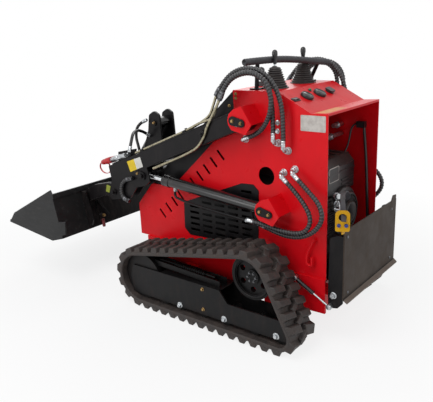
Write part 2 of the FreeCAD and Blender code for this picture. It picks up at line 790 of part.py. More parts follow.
def quick_hitch():
    """Attachment plate behind the bucket, with side flanges, ears to the arms and tilt rod lugs."""
    gap, t = hitch_gap, hitch_plate
    back = gap + t - 1
    face = plate([back_point(hitch_top, gap), back_point(hitch_bottom, gap),
                  back_point(hitch_bottom, gap + t), back_point(hitch_top, gap + t)],
                 -hitch_half, hitch_half)
    band = plate([back_point(hitch_top, back), back_point(hitch_top - 27, back),
                  back_point(hitch_top - 27, gap + t + 6), back_point(hitch_top, gap + t + 6)],
                 -hitch_half, hitch_half)
    flange = plate([back_point(hitch_top, back), back_point(hitch_bottom + 12, back),
                    back_point(hitch_bottom + 12, 30), back_point(345, 52), back_point(hitch_top, 42)],
                   hitch_half - 8, hitch_half)
    hx, hz = hitch_pin
    y = (arm_in + arm_out) / 2 - ear_width / 2
    shape = [(hx - 30, hz - 30), (hx - 30, hz + 30), (hx + 15, hz + 36), (1285, 572), (1400, 545),
             back_point(hitch_top - 3, back), back_point(440, back), (1319, 497), (hx + 15, hz - 30)]
    ear = plate(shape, y, y + ear_width, [26, 26, 10, 12, 10, 0, 0, 20, 10])
    ear = ear.cut(round_y(hitch_pin, pin_radius + pin_fit, y - 1, y + ear_width + 1))
    lx, lz = tilt_lug()
    lugs = []
    for side in (1, -1):
        shape = [(lx - 24, lz - 18), (lx - 24, lz + 20), (lx + 12, lz + 26),
                 back_point(hitch_top - 3, back), back_point(400, back)]
        lug = plate(shape, 24, 36, [18, 18, 20, 0, 0])
        for part in (lug, round_y((lx, lz), 14, 35, 40)):
            lugs.append(part if side > 0 else mirrored(part))
    return fuse([face, band, flange, mirrored(flange), ear, mirrored(ear)] + lugs)


def hitch_levers():
    """Latch on each side of the hitch plate: guide bar, slanting lever, pivot bolt and handle."""
    behind = hitch_gap + hitch_plate
    made = []
    for side in (1, -1):
        guide = plate([back_point(436, behind + 1), back_point(312, behind + 1),
                       back_point(312, behind + 11), back_point(436, behind + 11)], 240, 262)
        high, low = back_point(434, behind + 18)[0], back_point(338, behind + 18)[0]
        run = V(low - high, -50, -96)
        lever = Part.makeCylinder(6, run.Length, V(high, 250, 434), run)
        bolt = Part.makeCylinder(9, 26, V(back_point(352, behind + 10)[0], 250, 352), V(-1, 0, 0))
        hang = back_point(330, behind + 18)[0]
        handle = Part.makeCylinder(8, 46, V(hang, 250, 326), V(0, -0.1, -1))
        for part in (fuse([guide, lever, bolt]), handle):
            made.append(part if side > 0 else mirrored(part))
    return Part.makeCompound(made)


def bucket():
    """Bucket of welded plate: floor and back in one bend, cutting edge, two cheeks and a top bar."""
    t, half = bucket_wall, bucket_half
    shell = strip([bucket_lip, bucket_floor, bucket_heel, bucket_back_top], t, -half, half)
    edge = strip([bucket_lip, along(bucket_lip, bucket_floor, lip_depth)], lip_wall, -half, half)
    band = plate([back_point(bucket_back_top[1], -1), back_point(bucket_back_top[1] - back_band, -1),
                  back_point(bucket_back_top[1] - back_band, 6), back_point(bucket_back_top[1], 6)],
                 -half, half)
    cheek = [bucket_peak, bucket_back_top, back_point(377, 0), (1409, 386), (1417, 313),
             back_point(303, 0), bucket_heel, bucket_floor, along(bucket_lip, bucket_floor, 13),
             (1931, 313), bucket_nose]
    cheeks = [plate(cheek, y, y + t) for y in (-half, half - t)]
    return fuse(cheeks + [shell, edge, band])


# ---------------------------------------------------------------- platform and struts
def platform_deck():
    """Stand-on plate, folded up, with a bent lip along its lower edge and a mat for the feet."""
    x = platform_panel_x
    t = platform_plate
    points = [(x + t, platform_high), (x + t, platform_low), (x - platform_lip, platform_low - 14),
              (x - platform_lip, platform_low - 14 + t), (x, platform_low + t), (x, platform_high)]
    mat = block(x + t - 1, x + t + mat_thickness, -mat_half, mat_half, platform_low + mat_edge,
                platform_high - mat_edge)
    return fuse([plate(points, -platform_half, platform_half), mat])


def platform_frame():
    """Two upright side arms on the hinge, joined by the hinge tube."""
    x = platform_panel_x + platform_plate
    hx, hz = platform_hinge
    arms = []
    for side in (1, -1):
        shape = [(x, platform_high - 30), (x, 215), (hx - 20, 190), (hx + 24, 180), (hx + 26, 260),
                 (hx + 20, 500), (x + 30, platform_high - 30)]
        arm = plate(shape, platform_arm_in, platform_arm_in + 6, [8, 10, 10, 14, 10, 14, 8])
        arms.append(arm if side > 0 else mirrored(arm))
    reach = platform_arm_in + 1
    bar = round_y(platform_hinge, hinge_bar_radius, -reach, reach)
    return fuse(arms + [bar])


def platform_latch():
    """Yellow plate with a round hole, on a small foot at the folded platform's upper left corner."""
    width, low, high = 58.0, 548.0, 636.0
    body = plate([(-width / 2, low), (width / 2, low), (width / 2, high), (-width / 2, high)], -3, 3,
                 [9, 9, 20, 20])
    body = body.cut(round_y((0, high - 29), 16, -5, 5))
    body.rotate(V(0, 0, 0), V(0, 0, 1), 27)
    body.translate(V(-92, platform_half + 20, 0))
    foot = block(platform_panel_x, platform_panel_x + platform_plate,
                 platform_half, platform_half + 20, 534, low + 12)
    return fuse([body, foot])


def strut_barrel():
    end = along(strut_front, strut_rear, 106)
    body = rod(along(strut_front, strut_rear, 7), end, strut_tube_radius, strut_y)
    eye = round_y(strut_front, strut_eye_radius, strut_y - 6, strut_y + 6)
    bore = rod(along(strut_front, strut_rear, 16), along(strut_front, strut_rear, 108),
               strut_rod_radius + rod_fit, strut_y)
    stud = round_y(strut_front, 5, body_width / 2 + rail_proud, strut_y)
    return fuse([body, eye, stud]).cut(bore)


def strut_rod():
    total = math.dist(strut_front, strut_rear)
    bar = rod(along(strut_front, strut_rear, 90), along(strut_front, strut_rear, total - 6),
              strut_rod_radius, strut_y)
    eye = round_y(strut_rear, strut_eye_radius, strut_y - 6, strut_y + 6)
    stud = round_y(strut_rear, 5, platform_arm_in + 7, strut_y)
    return fuse([bar, eye, stud])


# ---------------------------------------------------------------- console fittings and small pieces
def grab_bar():
    """Padded hand bar on two posts in front of the control levers."""
    half = body_width / 2
    route = [(380, half + 27, 1204), (352, 130, 1207), (318, -40, 1198), (270, -half - 20, 1168)]
    bar = tube(route, 13, "grab bar")
    foot, post_y = deck_height + 4, half - 50
    posts = [rod((372, foot), (364, 1204), 9, post_y), rod((330, foot), (287, 1174), 9, -post_y)]
    feet = [block(350, 395, post_y - 20, post_y + 20, deck_height, deck_height + 6),
            block(308, 352, -post_y - 20, -post_y + 20, deck_height, deck_height + 6)]
    return fuse([bar] + posts + feet)


def joysticks():
    """Two control sticks, each with a ribbed rubber boot, a lever and a knob."""
    made = []
    for y in (stick_y, -stick_y):
        profile = [(0, 0), (boot_radius, 0), (boot_radius, 8), (boot_radius - 6, 12)]
        ribs = 5
        for i in range(ribs):
            share = i / ribs
            radius = boot_radius - 4 - 22 * share
            z = 14 + 12 * i
            profile += [(radius - 5, z), (radius, z + 5), (radius - 5, z + 10)]
        profile += [(14, boot_height - 6), (9, boot_height), (0, boot_height)]
        wire = Part.makePolygon([V(r, 0, z) for r, z in profile] + [V(0, 0, 0)])
        boot = Part.Face(wire).revolve(V(0, 0, 0), V(0, 0, 1), 360)
        lever = Part.makeCylinder(5.5, stick_top - deck_height - 20, V(0, 0, 10))
        knob = Part.makeCone(8, 11.5, 40, V(0, 0, stick_top - deck_height - 53))
        ball = Part.makeSphere(13, V(0, 0, stick_top - deck_height - 13))
        stick = fuse([boot, lever, knob, ball])
        stick.translate(V(stick_x, y, deck_height))
        made.append(stick)
    return Part.makeCompound(made)


def small_levers():
    """Two short valve levers with round knobs at the front of the deck."""
    made = []
    for x, y, lean in ((420.0, 60.0, 0.3), (400.0, -20.0, 0.3)):
        base = block(x - 22, x + 22, y - 18, y + 18, deck_height, deck_height + 22)
        stem = Part.makeCylinder(4.5, 62, V(x, y, deck_height + 10), V(lean, 0, 1))
        top = V(x, y, deck_height + 10) + V(lean, 0, 1).normalize() * 62
        knob = Part.makeSphere(16, top, V(0, 1, 0))
        made.append(fuse([base, stem, knob]))
    return Part.makeCompound(made)


def tie_down_hook():
    """Bent round bar on the side panel, open at its end like a hook."""
    out = body_width / 2
    return tube([(52, out, 472), (52, out + 18, 472), (64, out + 18, 450), (86, out + 18, 400),
                 (84, out + 18, 358), (60, out + 18, 352), (60, out + 18, 394)], 6, "tie-down hook")


# Fittings on the side panel: place (X, Z), and the way that the hose leaves (X, Z)
bulkheads = [((232, 871), (0, 1)), ((183, 842), (0, 1)), ((205, 746), (-0.77, -0.64)),
             ((150, 766), (-0.75, -0.66)), ((400, 874), (-0.93, 0.37))]
fitting_leg = 38.0


def hose_bulkheads():
    """Elbow fittings off the side panel: a nut, a neck and the leg that holds the hose."""
    made = []
    out = body_width / 2
    for (x, z), (dx, dz) in bulkheads:
        nut = round_y((x, z), 15, out, out + 10)
        neck = round_y((x, z), 9, out + 9, fitting_reach + 9)
        leg = Part.makeCylinder(10, fitting_leg, V(x, fitting_reach, z), V(dx, 0, dz))
        made.append(fuse([nut, neck, leg]))
    return Part.makeCompound(made)


def lift_hoses():
    """Hoses from the body's fittings over to the arm's pipes."""
    y = fitting_reach
    first = tube([(232, y, 910), (232, y, 985), (233, y + 8, 1062), (252, y + 16, 1132),
                  (314, y + 25, 1170), (394, y + 28, 1156), (448, y + 28, 1118), (485, y + 28, 1061)],
                 hose_radius, "lift hose 1")
    second = tube([(183, y, 881), (183, y, 960), (188, y + 2, 1040), (222, y + 3, 1124),
                   (292, y + 4, 1180), (384, y + 5, 1184), (464, y + 9, 1142), (513, y + 10, 1073)],
                  hose_radius, "lift hose 2")
    third = tube([(363.7, y, 888.4), (311.6, y, 909.2), (262, y + 16, 950), (224, y + 29, 1010),
                  (214, y + 37, 1086), (246, y + 42, 1148), (318, y + 47, 1177), (398, y + 48, 1152),
                  (446, y + 48, 1104), (466, y + 46, 1061)], hose_radius, "lift hose 3")
    return Part.makeCompound([first, second, third])


def cylinder_hoses():
    """Hoses from the lower fittings round to the lift cylinder's pipes."""
    y = fitting_reach
    first = tube([(120.7, y, 740.2), (70, y, 695.6), (6, y + 10, 646), (-12, y + 16, 584),
                  (32, y + 16, 520), (110, y + 12, 482), (214, y + 5, 480), (304, y, 506)],
                 hose_radius, "cylinder hose 1")
    second = tube([(175, y, 721), (118, y, 673.6), (49, y + 10, 597), (48, y + 18, 545), (85, y + 24, 508),
                   (180, y + 26, 504), (270, y + 24, 518), (356, y + 23, 522)],
                  hose_radius, "cylinder hose 2")
    return Part.makeCompound([first, second])


# ---------------------------------------------------------------- all nodes
def both(make, name):
    left = make()
    return {f"{name}_left": left, f"{name}_right": mirrored(left)}


def pair(make, *args):
    left = make(*args)
    return Part.makeCompound([left, mirrored(left)])


nodes = {
    "chassis": chassis(),
    "hood": hood(),
    "console": console(),
    "side_grilles": pair(side_grille),
    "engine_block": engine_block(),
    "engine_cover": engine_cover(),
    "recoil_starter": recoil_starter(),
    "drive_sprockets": pair(drive_sprocket),
    "arm_pivot_brackets": pair(pivot_bracket, pivot),
    "cylinder_brackets": pair(pivot_bracket, cylinder_pin),
    "pivot_pins": Part.makeCompound([pair(pivot_pin, pivot), pair(pivot_pin, cylinder_pin)]),
    "pin_keepers": Part.makeCompound([pair(keeper, pivot), pair(keeper, cylinder_pin)]),
    "grab_bar": grab_bar(),
    "joysticks": joysticks(),
    "small_levers": small_levers(),
    "tie_down_hooks": pair(tie_down_hook),
    "hose_bulkheads": pair(hose_bulkheads),
    "platform_latch": platform_latch(),
    "arm_crossmember": crossmember(),
    "tilt_tower": tilt_tower(),
    "arm_pins": arm_pin_caps(),
    "coupler_block": coupler_block(),
    "tilt_hoses": tilt_hoses(),
    "tilt_barrel": tilt_barrel(),
    "tilt_rod": tilt_rod(),
    "quick_hitch": quick_hitch(),
    "hitch_levers": hitch_levers(),
    "bucket": bucket(),
    "platform_deck": platform_deck(),
    "platform_frame": platform_frame(),
}
for make, name in ((body_side, "body_side"), (track_loop, "track"), (track_frame, "track_frame"),
                   (track_wheels, "track_wheels"), (lift_arm, "lift_arm"), (arm_pipes, "arm_pipes"),
                   (lift_barrel, "lift_barrel"), (lift_rod, "lift_rod"),
                   (cylinder_pipes, "cylinder_pipes"), (lift_hoses, "lift_hoses"),
                   (cylinder_hoses, "cylinder_hoses"), (strut_barrel, "strut_barrel"),
                   (strut_rod, "strut_rod")):
    nodes.update(both(make, name))

middle = 0.5 * (nodes["bucket"].BoundBox.XMax + nodes["platform_deck"].BoundBox.XMin)
print(f"shift {-middle:.3f}")
for name, shape in nodes.items():
    shape.translate(V(-middle, 0, 0))
    if not shape.isValid():
        print("not valid:", name)
    print(f"{name}: {len(shape.Solids)} solids, {shape.Volume / 1e6:.3f} litres")
    shape.exportStep(f"parts/{name}.step")
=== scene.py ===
# Mini track loader: the looks of the machine around its fixed frame. Metres, +X forward, +Y its left.
import bpy
import bmesh
import numpy as np
from mathutils import Matrix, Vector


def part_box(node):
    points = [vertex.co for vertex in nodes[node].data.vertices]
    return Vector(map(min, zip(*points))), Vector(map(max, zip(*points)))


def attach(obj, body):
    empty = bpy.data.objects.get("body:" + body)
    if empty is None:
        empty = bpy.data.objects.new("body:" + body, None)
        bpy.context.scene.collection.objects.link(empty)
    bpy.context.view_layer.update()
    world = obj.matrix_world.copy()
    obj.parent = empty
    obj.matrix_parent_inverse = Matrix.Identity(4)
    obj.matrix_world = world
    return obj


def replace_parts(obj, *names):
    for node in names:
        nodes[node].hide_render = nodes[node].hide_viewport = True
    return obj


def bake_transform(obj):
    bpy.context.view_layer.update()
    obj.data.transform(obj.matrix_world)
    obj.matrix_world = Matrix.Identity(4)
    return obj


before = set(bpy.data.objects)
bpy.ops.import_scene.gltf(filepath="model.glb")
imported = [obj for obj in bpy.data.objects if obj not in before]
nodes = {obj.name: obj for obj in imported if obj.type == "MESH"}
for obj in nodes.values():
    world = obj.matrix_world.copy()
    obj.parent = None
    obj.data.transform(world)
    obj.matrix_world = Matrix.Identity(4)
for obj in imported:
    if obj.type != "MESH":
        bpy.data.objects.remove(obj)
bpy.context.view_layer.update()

# Viewpoint: a person's eye at the machine's left rear quarter, looking a little down at it through a
# slightly long lens.
def placed(thing, across, up, back, place):
    """Puts a camera or a lamp in the scene, its axes along across, up and back."""
    turned = np.eye(4)
    turned[:3] = np.column_stack([across, up, back, place])
    thing.matrix_world = Matrix(turned.tolist())
    bpy.context.scene.collection.objects.link(thing)


eye = (-1.98256, 2.27803, 1.34815)
yaw, pitch, roll = np.radians([-50.98, 16.75, -2.53])
forward = np.array([np.cos(pitch) * np.cos(yaw), np.cos(pitch) * np.sin(yaw), -np.sin(pitch)])
level = np.array([np.sin(yaw), -np.cos(yaw), 0.0])
upright = np.cross(level, forward)
right = np.cos(roll) * level + np.sin(roll) * upright
above = -np.sin(roll) * level + np.cos(roll) * upright
camera_data = bpy.data.cameras.new("view")
camera_data.lens = 47.83
camera_data.sensor_width = 36.0
camera = bpy.data.objects.new("view", camera_data)
placed(camera, right, above, -forward, eye)
bpy.context.scene.camera = camera


# Studio: a matt white floor that runs out of sight, a white surround, and four large soft lamps above
# and beside the machine, the brightest of them on its left.
def linear(colour):
    """Linear colour of an sRGB hex value: each channel over 12.92, or ((c + 0.055) / 1.055) ** 2.4."""
    c = np.array([int(colour[i:i + 2], 16) for i in (1, 3, 5)]) / 255
    return (*np.where(c <= 0.04045, c / 12.92, ((c + 0.055) / 1.055) ** 2.4), 1.0)


def plug(tree, node, values):
    """Fills a node's sockets, given by name or number, with constants or links. A link comes from a
    socket, or from the first output in use of a node."""
    for socket, value in values.items():
        if isinstance(value, bpy.types.Node):
            value = next(output for output in value.outputs if output.enabled)
        if isinstance(value, bpy.types.NodeSocket):
            tree.links.new(value, node.inputs[socket])
        else:
            node.inputs[socket].default_value = value


def add_node(tree, kind, values=None, **settings):
    """Adds a shader node with its settings, then fills its sockets."""
    node = tree.nodes.new("ShaderNode" + kind)
    for name, value in settings.items():
        setattr(node, name, value)
    plug(tree, node, values or {})
    return node


bpy.context.scene.view_settings.view_transform = "Standard"
world = bpy.data.worlds.new("surround")
world.use_nodes = True
bpy.context.scene.world = world
tree = world.node_tree
tree.nodes.clear()
path = add_node(tree, "LightPath")
seen = add_node(tree, "Math", {0: path.outputs["Is Camera Ray"], 1: path.outputs["Is Glossy Ray"]},
                operation="MAXIMUM")
seen = add_node(tree, "Math", {0: seen, 1: path.outputs["Is Transmission Ray"]}, operation="MAXIMUM")
fill = add_node(tree, "Background", {"Color": linear("#e9edf2"), "Strength": 0.34})
white = add_node(tree, "Background", {"Color": (1, 1, 1, 1), "Strength": 1.0})
both = add_node(tree, "MixShader", {0: seen, 1: fill, 2: white})
add_node(tree, "OutputWorld", {"Surface": both})

floor_mesh = bpy.data.meshes.new("studio_floor")
reach = 40.0
floor_mesh.from_pydata([(-reach, -reach, 0), (reach, -reach, 0), (reach, reach, 0), (-reach, reach, 0)],
                       [], [(0, 1, 2, 3)])
floor = bpy.data.objects.new("studio_floor", floor_mesh)
bpy.context.scene.collection.objects.link(floor)
floor_paint = bpy.data.materials.new("matt white floor paint")
floor_paint.use_nodes = True
tree = floor_paint.node_tree
tree.nodes.clear()
path = add_node(tree, "LightPath")
seen = add_node(tree, "Math", {0: path.outputs["Is Camera Ray"], 1: path.outputs["Is Glossy Ray"]},
                operation="MAXIMUM")
away = add_node(tree, "VectorMath", {0: add_node(tree, "TexCoord").outputs["Object"]}, operation="LENGTH")
# The floor shows the machine's shadow near it and fades to plain white 2.3 m away
faded = add_node(tree, "MapRange", {0: away, 1: 0.7, 2: 2.3, 3: 0.80, 4: 1.0})
share = add_node(tree, "Math", {0: seen, 1: faded}, operation="MULTIPLY")
matt = add_node(tree, "BsdfDiffuse", {"Color": linear("#f4f4f4")})
bright = add_node(tree, "Emission", {"Color": (1, 1, 1, 1), "Strength": 1.0})
both = add_node(tree, "MixShader", {0: share, 1: matt, 2: bright})
add_node(tree, "OutputMaterial", {"Surface": both})
floor_mesh.materials.append(floor_paint)

lamps = (("key lamp", (-0.2, 1.9, 3.4), 2.4, 56), ("side lamp", (0.9, 3.6, 1.7), 2.2, 30),
         ("rear lamp", (-3.4, 0.2, 1.9), 1.8, 16), ("far lamp", (1.4, -2.6, 2.8), 2.4, 34))
lit_point = (0.0, 0.0, 0.6)
for name, place, size, watts in lamps:
    lamp_data = bpy.data.lights.new(name, "AREA")
    lamp_data.energy = watts
    lamp_data.shape = "DISK"
    lamp_data.size = size
    lamp = bpy.data.objects.new(name, lamp_data)
    away = np.array(place) - lit_point
    away /= np.linalg.norm(away)
    side = np.cross((0.0, 0.0, 1.0), away)
    side /= np.linalg.norm(side)
    placed(lamp, side, np.cross(away, side), away, place)


# Body: bent and welded 4 mm sheet on two thick side rails, powder coated in one bright red. The side
# panels, the deck with its visor, the lower frame and the pin brackets are all of this finish.
def new_material(name, **constants):
    """A material with its tree, its shader and the piece's own coordinates, in metres."""
    material = bpy.data.materials.new(name)
    material.use_nodes = True
    tree = material.node_tree
    shader = tree.nodes["Principled BSDF"]
    for socket, value in constants.items():
        shader.inputs[socket.replace("_", " ")].default_value = value
    coords = add_node(tree, "TexCoord").outputs["Object"]
    return material, tree, shader, coords


def blotches(tree, coords, size_mm, low, high, to_low=0.0, to_high=1.0, detail=3.0, rough=0.55):
    """Blotches about size_mm across: noise, stretched from low..high to to_low..to_high."""
    cloud = add_node(tree, "TexNoise", {"Vector": coords, "Scale": 1000.0 / size_mm, "Detail": detail,
                                        "Roughness": rough})
    return add_node(tree, "MapRange", {0: cloud, 1: low, 2: high, 3: to_low, 4: to_high})


def lumpy(tree, coords, size_mm, strength, depth_mm, under=None, detail=3.0):
    """Normal of a surface with lumps about size_mm across and depth_mm high, over the normal under."""
    cloud = add_node(tree, "TexNoise", {"Vector": coords, "Scale": 1000.0 / size_mm, "Detail": detail,
                                        "Roughness": 0.55})
    bump = add_node(tree, "Bump", {"Height": cloud, "Strength": strength, "Distance": depth_mm / 1000})
    if under:
        plug(tree, bump, {"Normal": under})
    return bump


def layered(tree, base, *layers):
    """Colour of a base under layers: each (share, colour) in turn covers what is below by its share."""
    for share, colour in layers:
        below, over = (linear(c) if isinstance(c, str) else c for c in (base, colour))
        base = add_node(tree, "Mix", {0: share, 6: below, 7: over}, data_type="RGBA")
    return base


def coated(name, colour, darker, dust, worn, gloss=0.3, wear=0.0, dust_top=0.45, dusty=0.5, peel=1.0,
           shine=0.18):
    """Paint on steel: two close tones in wide blotches, orange peel drawn 4 mm across so that it shows, a
    sheet's slow waves, edges rounded by 1.2 mm, grime low down and in streaks, and bare metal where an
    edge has rubbed."""
    material, tree, shader, coords = new_material(name, Metallic=0.0, IOR=1.5, Specular_IOR_Level=shine)
    height = add_node(tree, "SeparateXYZ", {0: coords}).outputs["Z"]
    low = add_node(tree, "MapRange", {0: height, 1: 0.02, 2: dust_top, 3: dusty, 4: 0.05})
    streaked = add_node(tree, "Mapping", {"Vector": coords, "Scale": (1.0, 1.0, 0.3)})
    patches = blotches(tree, streaked, 34, 0.48, 0.72, detail=6.0, rough=0.7)
    grime = add_node(tree, "Math", {0: low, 1: patches}, operation="MULTIPLY")
    edge = add_node(tree, "Bevel", {"Radius": 0.0022}, samples=4)
    flat = add_node(tree, "NewGeometry").outputs["Normal"]
    turn = add_node(tree, "VectorMath", {0: edge, 1: flat}, operation="DOT_PRODUCT")
    corner = add_node(tree, "MapRange", {0: turn, 1: 0.995, 2: 0.93})
    chips = blotches(tree, coords, 9, 0.62 - wear, 0.70 - wear, detail=4.0)
    rubbed = add_node(tree, "Math", {0: corner, 1: chips}, operation="MULTIPLY")
    clouds = blotches(tree, coords, 260, 0.35, 0.65)
    tone = layered(tree, colour, (clouds, darker), (grime, dust), (rubbed, worn))
    sheen = blotches(tree, coords, 45, 0.3, 0.7, gloss, gloss + 0.12, detail=4.0)
    dulled = add_node(tree, "Math", {0: grime, 1: 0.5, 2: sheen}, operation="MULTIPLY_ADD")
    soft = add_node(tree, "Bevel", {"Radius": 0.0012}, samples=4)
    waves = lumpy(tree, coords, 170, 0.35, 1.6, soft, detail=1.0)
    skin = lumpy(tree, coords, 4.0, 0.12 * peel, 0.4, waves, detail=2.0)
    plug(tree, shader, {"Base Color": tone, "Roughness": dulled, "Normal": skin})
    return material


def finish_nodes(material, *names):
    """Gives CAD nodes one material in every slot."""
    for name in names:
        for place in nodes[name].material_slots:
            place.material = material


# Polyester powder coat, oven cured: hard gloss with a fine orange peel, dulled by dust near the ground
red_coat = coated("red powder coat on steel", "#e30e1b", "#d80c18", "#5e2a28", "#8d8a88", gloss=0.26,
                  wear=-0.05, dust_top=0.34, dusty=0.22)
finish_nodes(red_coat, "chassis", "body_side_left", "body_side_right", "console",
             "arm_pivot_brackets", "cylinder_brackets", "tie_down_hooks")

# Hood, arms and other black steel: the hood is 3 mm sheet bolted inside the red panels; the arms, their
# cross tube and the tower are welded from plate and tube, and so is the platform's frame.

# Acrylic enamel, sprayed: deep satin black, a little uneven, with grey dust lying on it
black_coat = coated("satin black enamel on steel", "#0d0b0d", "#131113", "#453d3a", "#5f5c58", gloss=0.28,
                    wear=-0.03, dust_top=1.2, dusty=0.22)
finish_nodes(black_coat, "hood", "side_grilles", "pin_keepers", "lift_arm_left", "lift_arm_right",
             "arm_crossmember", "tilt_tower", "arm_pins", "platform_frame")


# Bolts: zinc-plated steel or brass-coloured hexagon heads with a round washer, wherever plates are
# joined; these are the ones that hold the side panels to the frame inside.
def stand(points, place, out):
    """Turns points drawn about the Z axis so that Z lies along out, and moves them to place."""
    z = np.array(out, float) / np.linalg.norm(out)
    x = np.cross((0.0, 1.0, 0.0) if abs(z[1]) < 0.9 else (1.0, 0.0, 0.0), z)
    x /= np.linalg.norm(x)
    return points @ np.array([x, np.cross(z, x), z]) + place


def net(rows, columns):
    """Quads between neighbours of a grid of points, whose columns close on themselves."""
    i, j = np.meshgrid(np.arange(rows - 1), np.arange(columns), indexing="ij")
    k = (j + 1) % columns
    return np.stack([i * columns + j, i * columns + k, (i + 1) * columns + k, (i + 1) * columns + j],
                    -1).reshape(-1, 4)


def turned_part(profile, place, out, sides=24):
    """Surface of revolution: the profile of (radius, height) pairs at angle a gives
    (radius cos a, radius sin a, height), then Z is laid along out."""
    r, h = np.array(profile, float).T
    a = np.linspace(0, 2 * np.pi, sides, endpoint=False)
    points = np.stack([r[:, None] * np.cos(a), r[:, None] * np.sin(a), h[:, None] + 0 * a], -1)
    return stand(points.reshape(-1, 3), place, out), net(len(r), sides)


def piece(name, sheets, material, body, bevel=0.0, crease=35.0, marks=None):
    """One mesh of several (points, faces) sheets, closed at its poles, riding on a body. Edges turned by
    more than crease degrees stay sharp, and marks gives each point a value that the material reads."""
    mesh = bpy.data.meshes.new(name)
    starts = np.cumsum([0] + [len(p) for p, _ in sheets])[:-1]
    faces = [[int(i + start) for i in face] for (_, sheet), start in zip(sheets, starts) for face in sheet]
    mesh.from_pydata(np.concatenate([p for p, _ in sheets]).tolist(), [], faces)
    if marks is not None:
        mesh.attributes.new("marks", "FLOAT", "POINT").data.foreach_set("value", marks.ravel())
    work = bmesh.new()
    work.from_mesh(mesh)
    bmesh.ops.remove_doubles(work, verts=work.verts, dist=1e-6)
    bmesh.ops.dissolve_degenerate(work, edges=work.edges, dist=1e-7)
    bmesh.ops.recalc_face_normals(work, faces=work.faces)
    work.to_mesh(mesh)
    work.free()
    mesh.materials.append(material)
    mesh.polygons.foreach_set("use_smooth", np.ones(len(mesh.polygons), bool))
    mesh.set_sharp_from_angle(angle=np.radians(crease))
    thing = bpy.data.objects.new(name, mesh)
    bpy.context.scene.collection.objects.link(thing)
    if bevel:
        rounding = thing.modifiers.new("rounded edges", "BEVEL")
        rounding.width = bevel
        rounding.segments = 2
        rounding.limit_method = "ANGLE"
        rounding.angle_limit = np.radians(40)
    if body:
        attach(thing, body)
    return thing


def bolt(place, out, across, washer=1.5, tall=0.62):
    """Hexagon head of the given width across flats, chamfered on top, on a washer."""
    r, foot = across / 3 ** 0.5, 0.10 * across
    top = foot + tall * across
    head = [(0, foot), (r, foot), (r, top - 0.12 * r), (0.88 * r, top), (0, top)]
    edge = washer * r
    ring = [(0, -0.0005), (edge, -0.0005), (edge, foot * 0.8), (edge * 0.96, foot), (0, foot)]
    return [turned_part(head, place, out, 6), turned_part(ring, place, out, 20)]


def metal(name, colour, darker, rough=0.3, spots=12.0, depth=0.15, metallic=1.0):
    """Metal: two tones in blotches of the given millimetres, roughness that follows them, and scratches
    as bump, drawn 2.5 mm apart so that they show."""
    material, tree, shader, coords = new_material(name, Metallic=metallic)
    scratched = add_node(tree, "Mapping", {"Vector": coords, "Scale": (1.0, 1.0, 8.0)})
    soft = add_node(tree, "Bevel", {"Radius": 0.0006}, samples=4)
    plug(tree, shader, {
        "Base Color": layered(tree, colour, (blotches(tree, coords, spots, 0.4, 0.65, detail=4.0), darker)),
        "Roughness": blotches(tree, coords, spots, 0.3, 0.7, rough, rough + 0.18, detail=4.0),
        "Normal": lumpy(tree, scratched, 2.5, depth, 0.3, soft)})
    return material


# Zinc plate, dipped: pale blue-grey metal, cloudy where it has dulled
zinc = metal("zinc-plated steel", "#c9ccce", "#9da1a5", rough=0.26)
# Yellow-passivated zinc on high-strength bolts: warm gold with duller patches
brass_plate = metal("yellow-passivated zinc plate", "#a5895c", "#6d5738", rough=0.34)
# Zinc on the arm's hose ends, darkened by oil and handling
dull_zinc = metal("oily zinc-plated steel", "#6c6d70", "#3f3e40", rough=0.36)

rear_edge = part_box("console")[0].x


def at(*points):
    """Points measured in metres from the body's rear edge, the middle plane and the ground."""
    found = np.array(points, float) + (rear_edge, 0.0, 0.0)
    return found[0] if len(points) == 1 else found


def side_bolts(spots, face, across, washer, tall=0.62):
    """Bolts at the (x, z) spots on both sides of the machine, standing on the planes y = face and -face."""
    sheets = []
    for x, z in spots:
        for side in (1, -1):
            sheets += bolt(at((x, side * face, z)), (0, side, 0), across, washer, tall)
    return sheets


panel_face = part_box("body_side_left")[1].y
heads = side_bolts([(0.235, 0.957), (0.236, 0.921)], panel_face, 0.013, 1.5)
gold = side_bolts([(0.449, 1.069), (0.449, 1.051)], panel_face, 0.009, 1.4)
gold += side_bolts([(0.489, 1.015)], panel_face - 0.005, 0.009, 1.4)
piece("body_bolts", heads, zinc, "body")
piece("body_gold_bolts", gold, brass_plate, "body")


# Tracks: endless rubber belts 180 mm wide, moulded over steel cords, with two rows of staggered lugs
# outside and a row of guide teeth inside that runs between the rims of the wheels.

# The wheels that the belt runs on, in front, behind and driving: place (x, z) and radius
wheel_places = np.array([(0.930, 0.160, 0.118), (0.111, 0.089, 0.047), (0.281, 0.298, 0.106)])
belt_thick, lug_tall = 0.020, 0.022
belt_out, belt_in = 0.469, 0.289
lug_count = 39


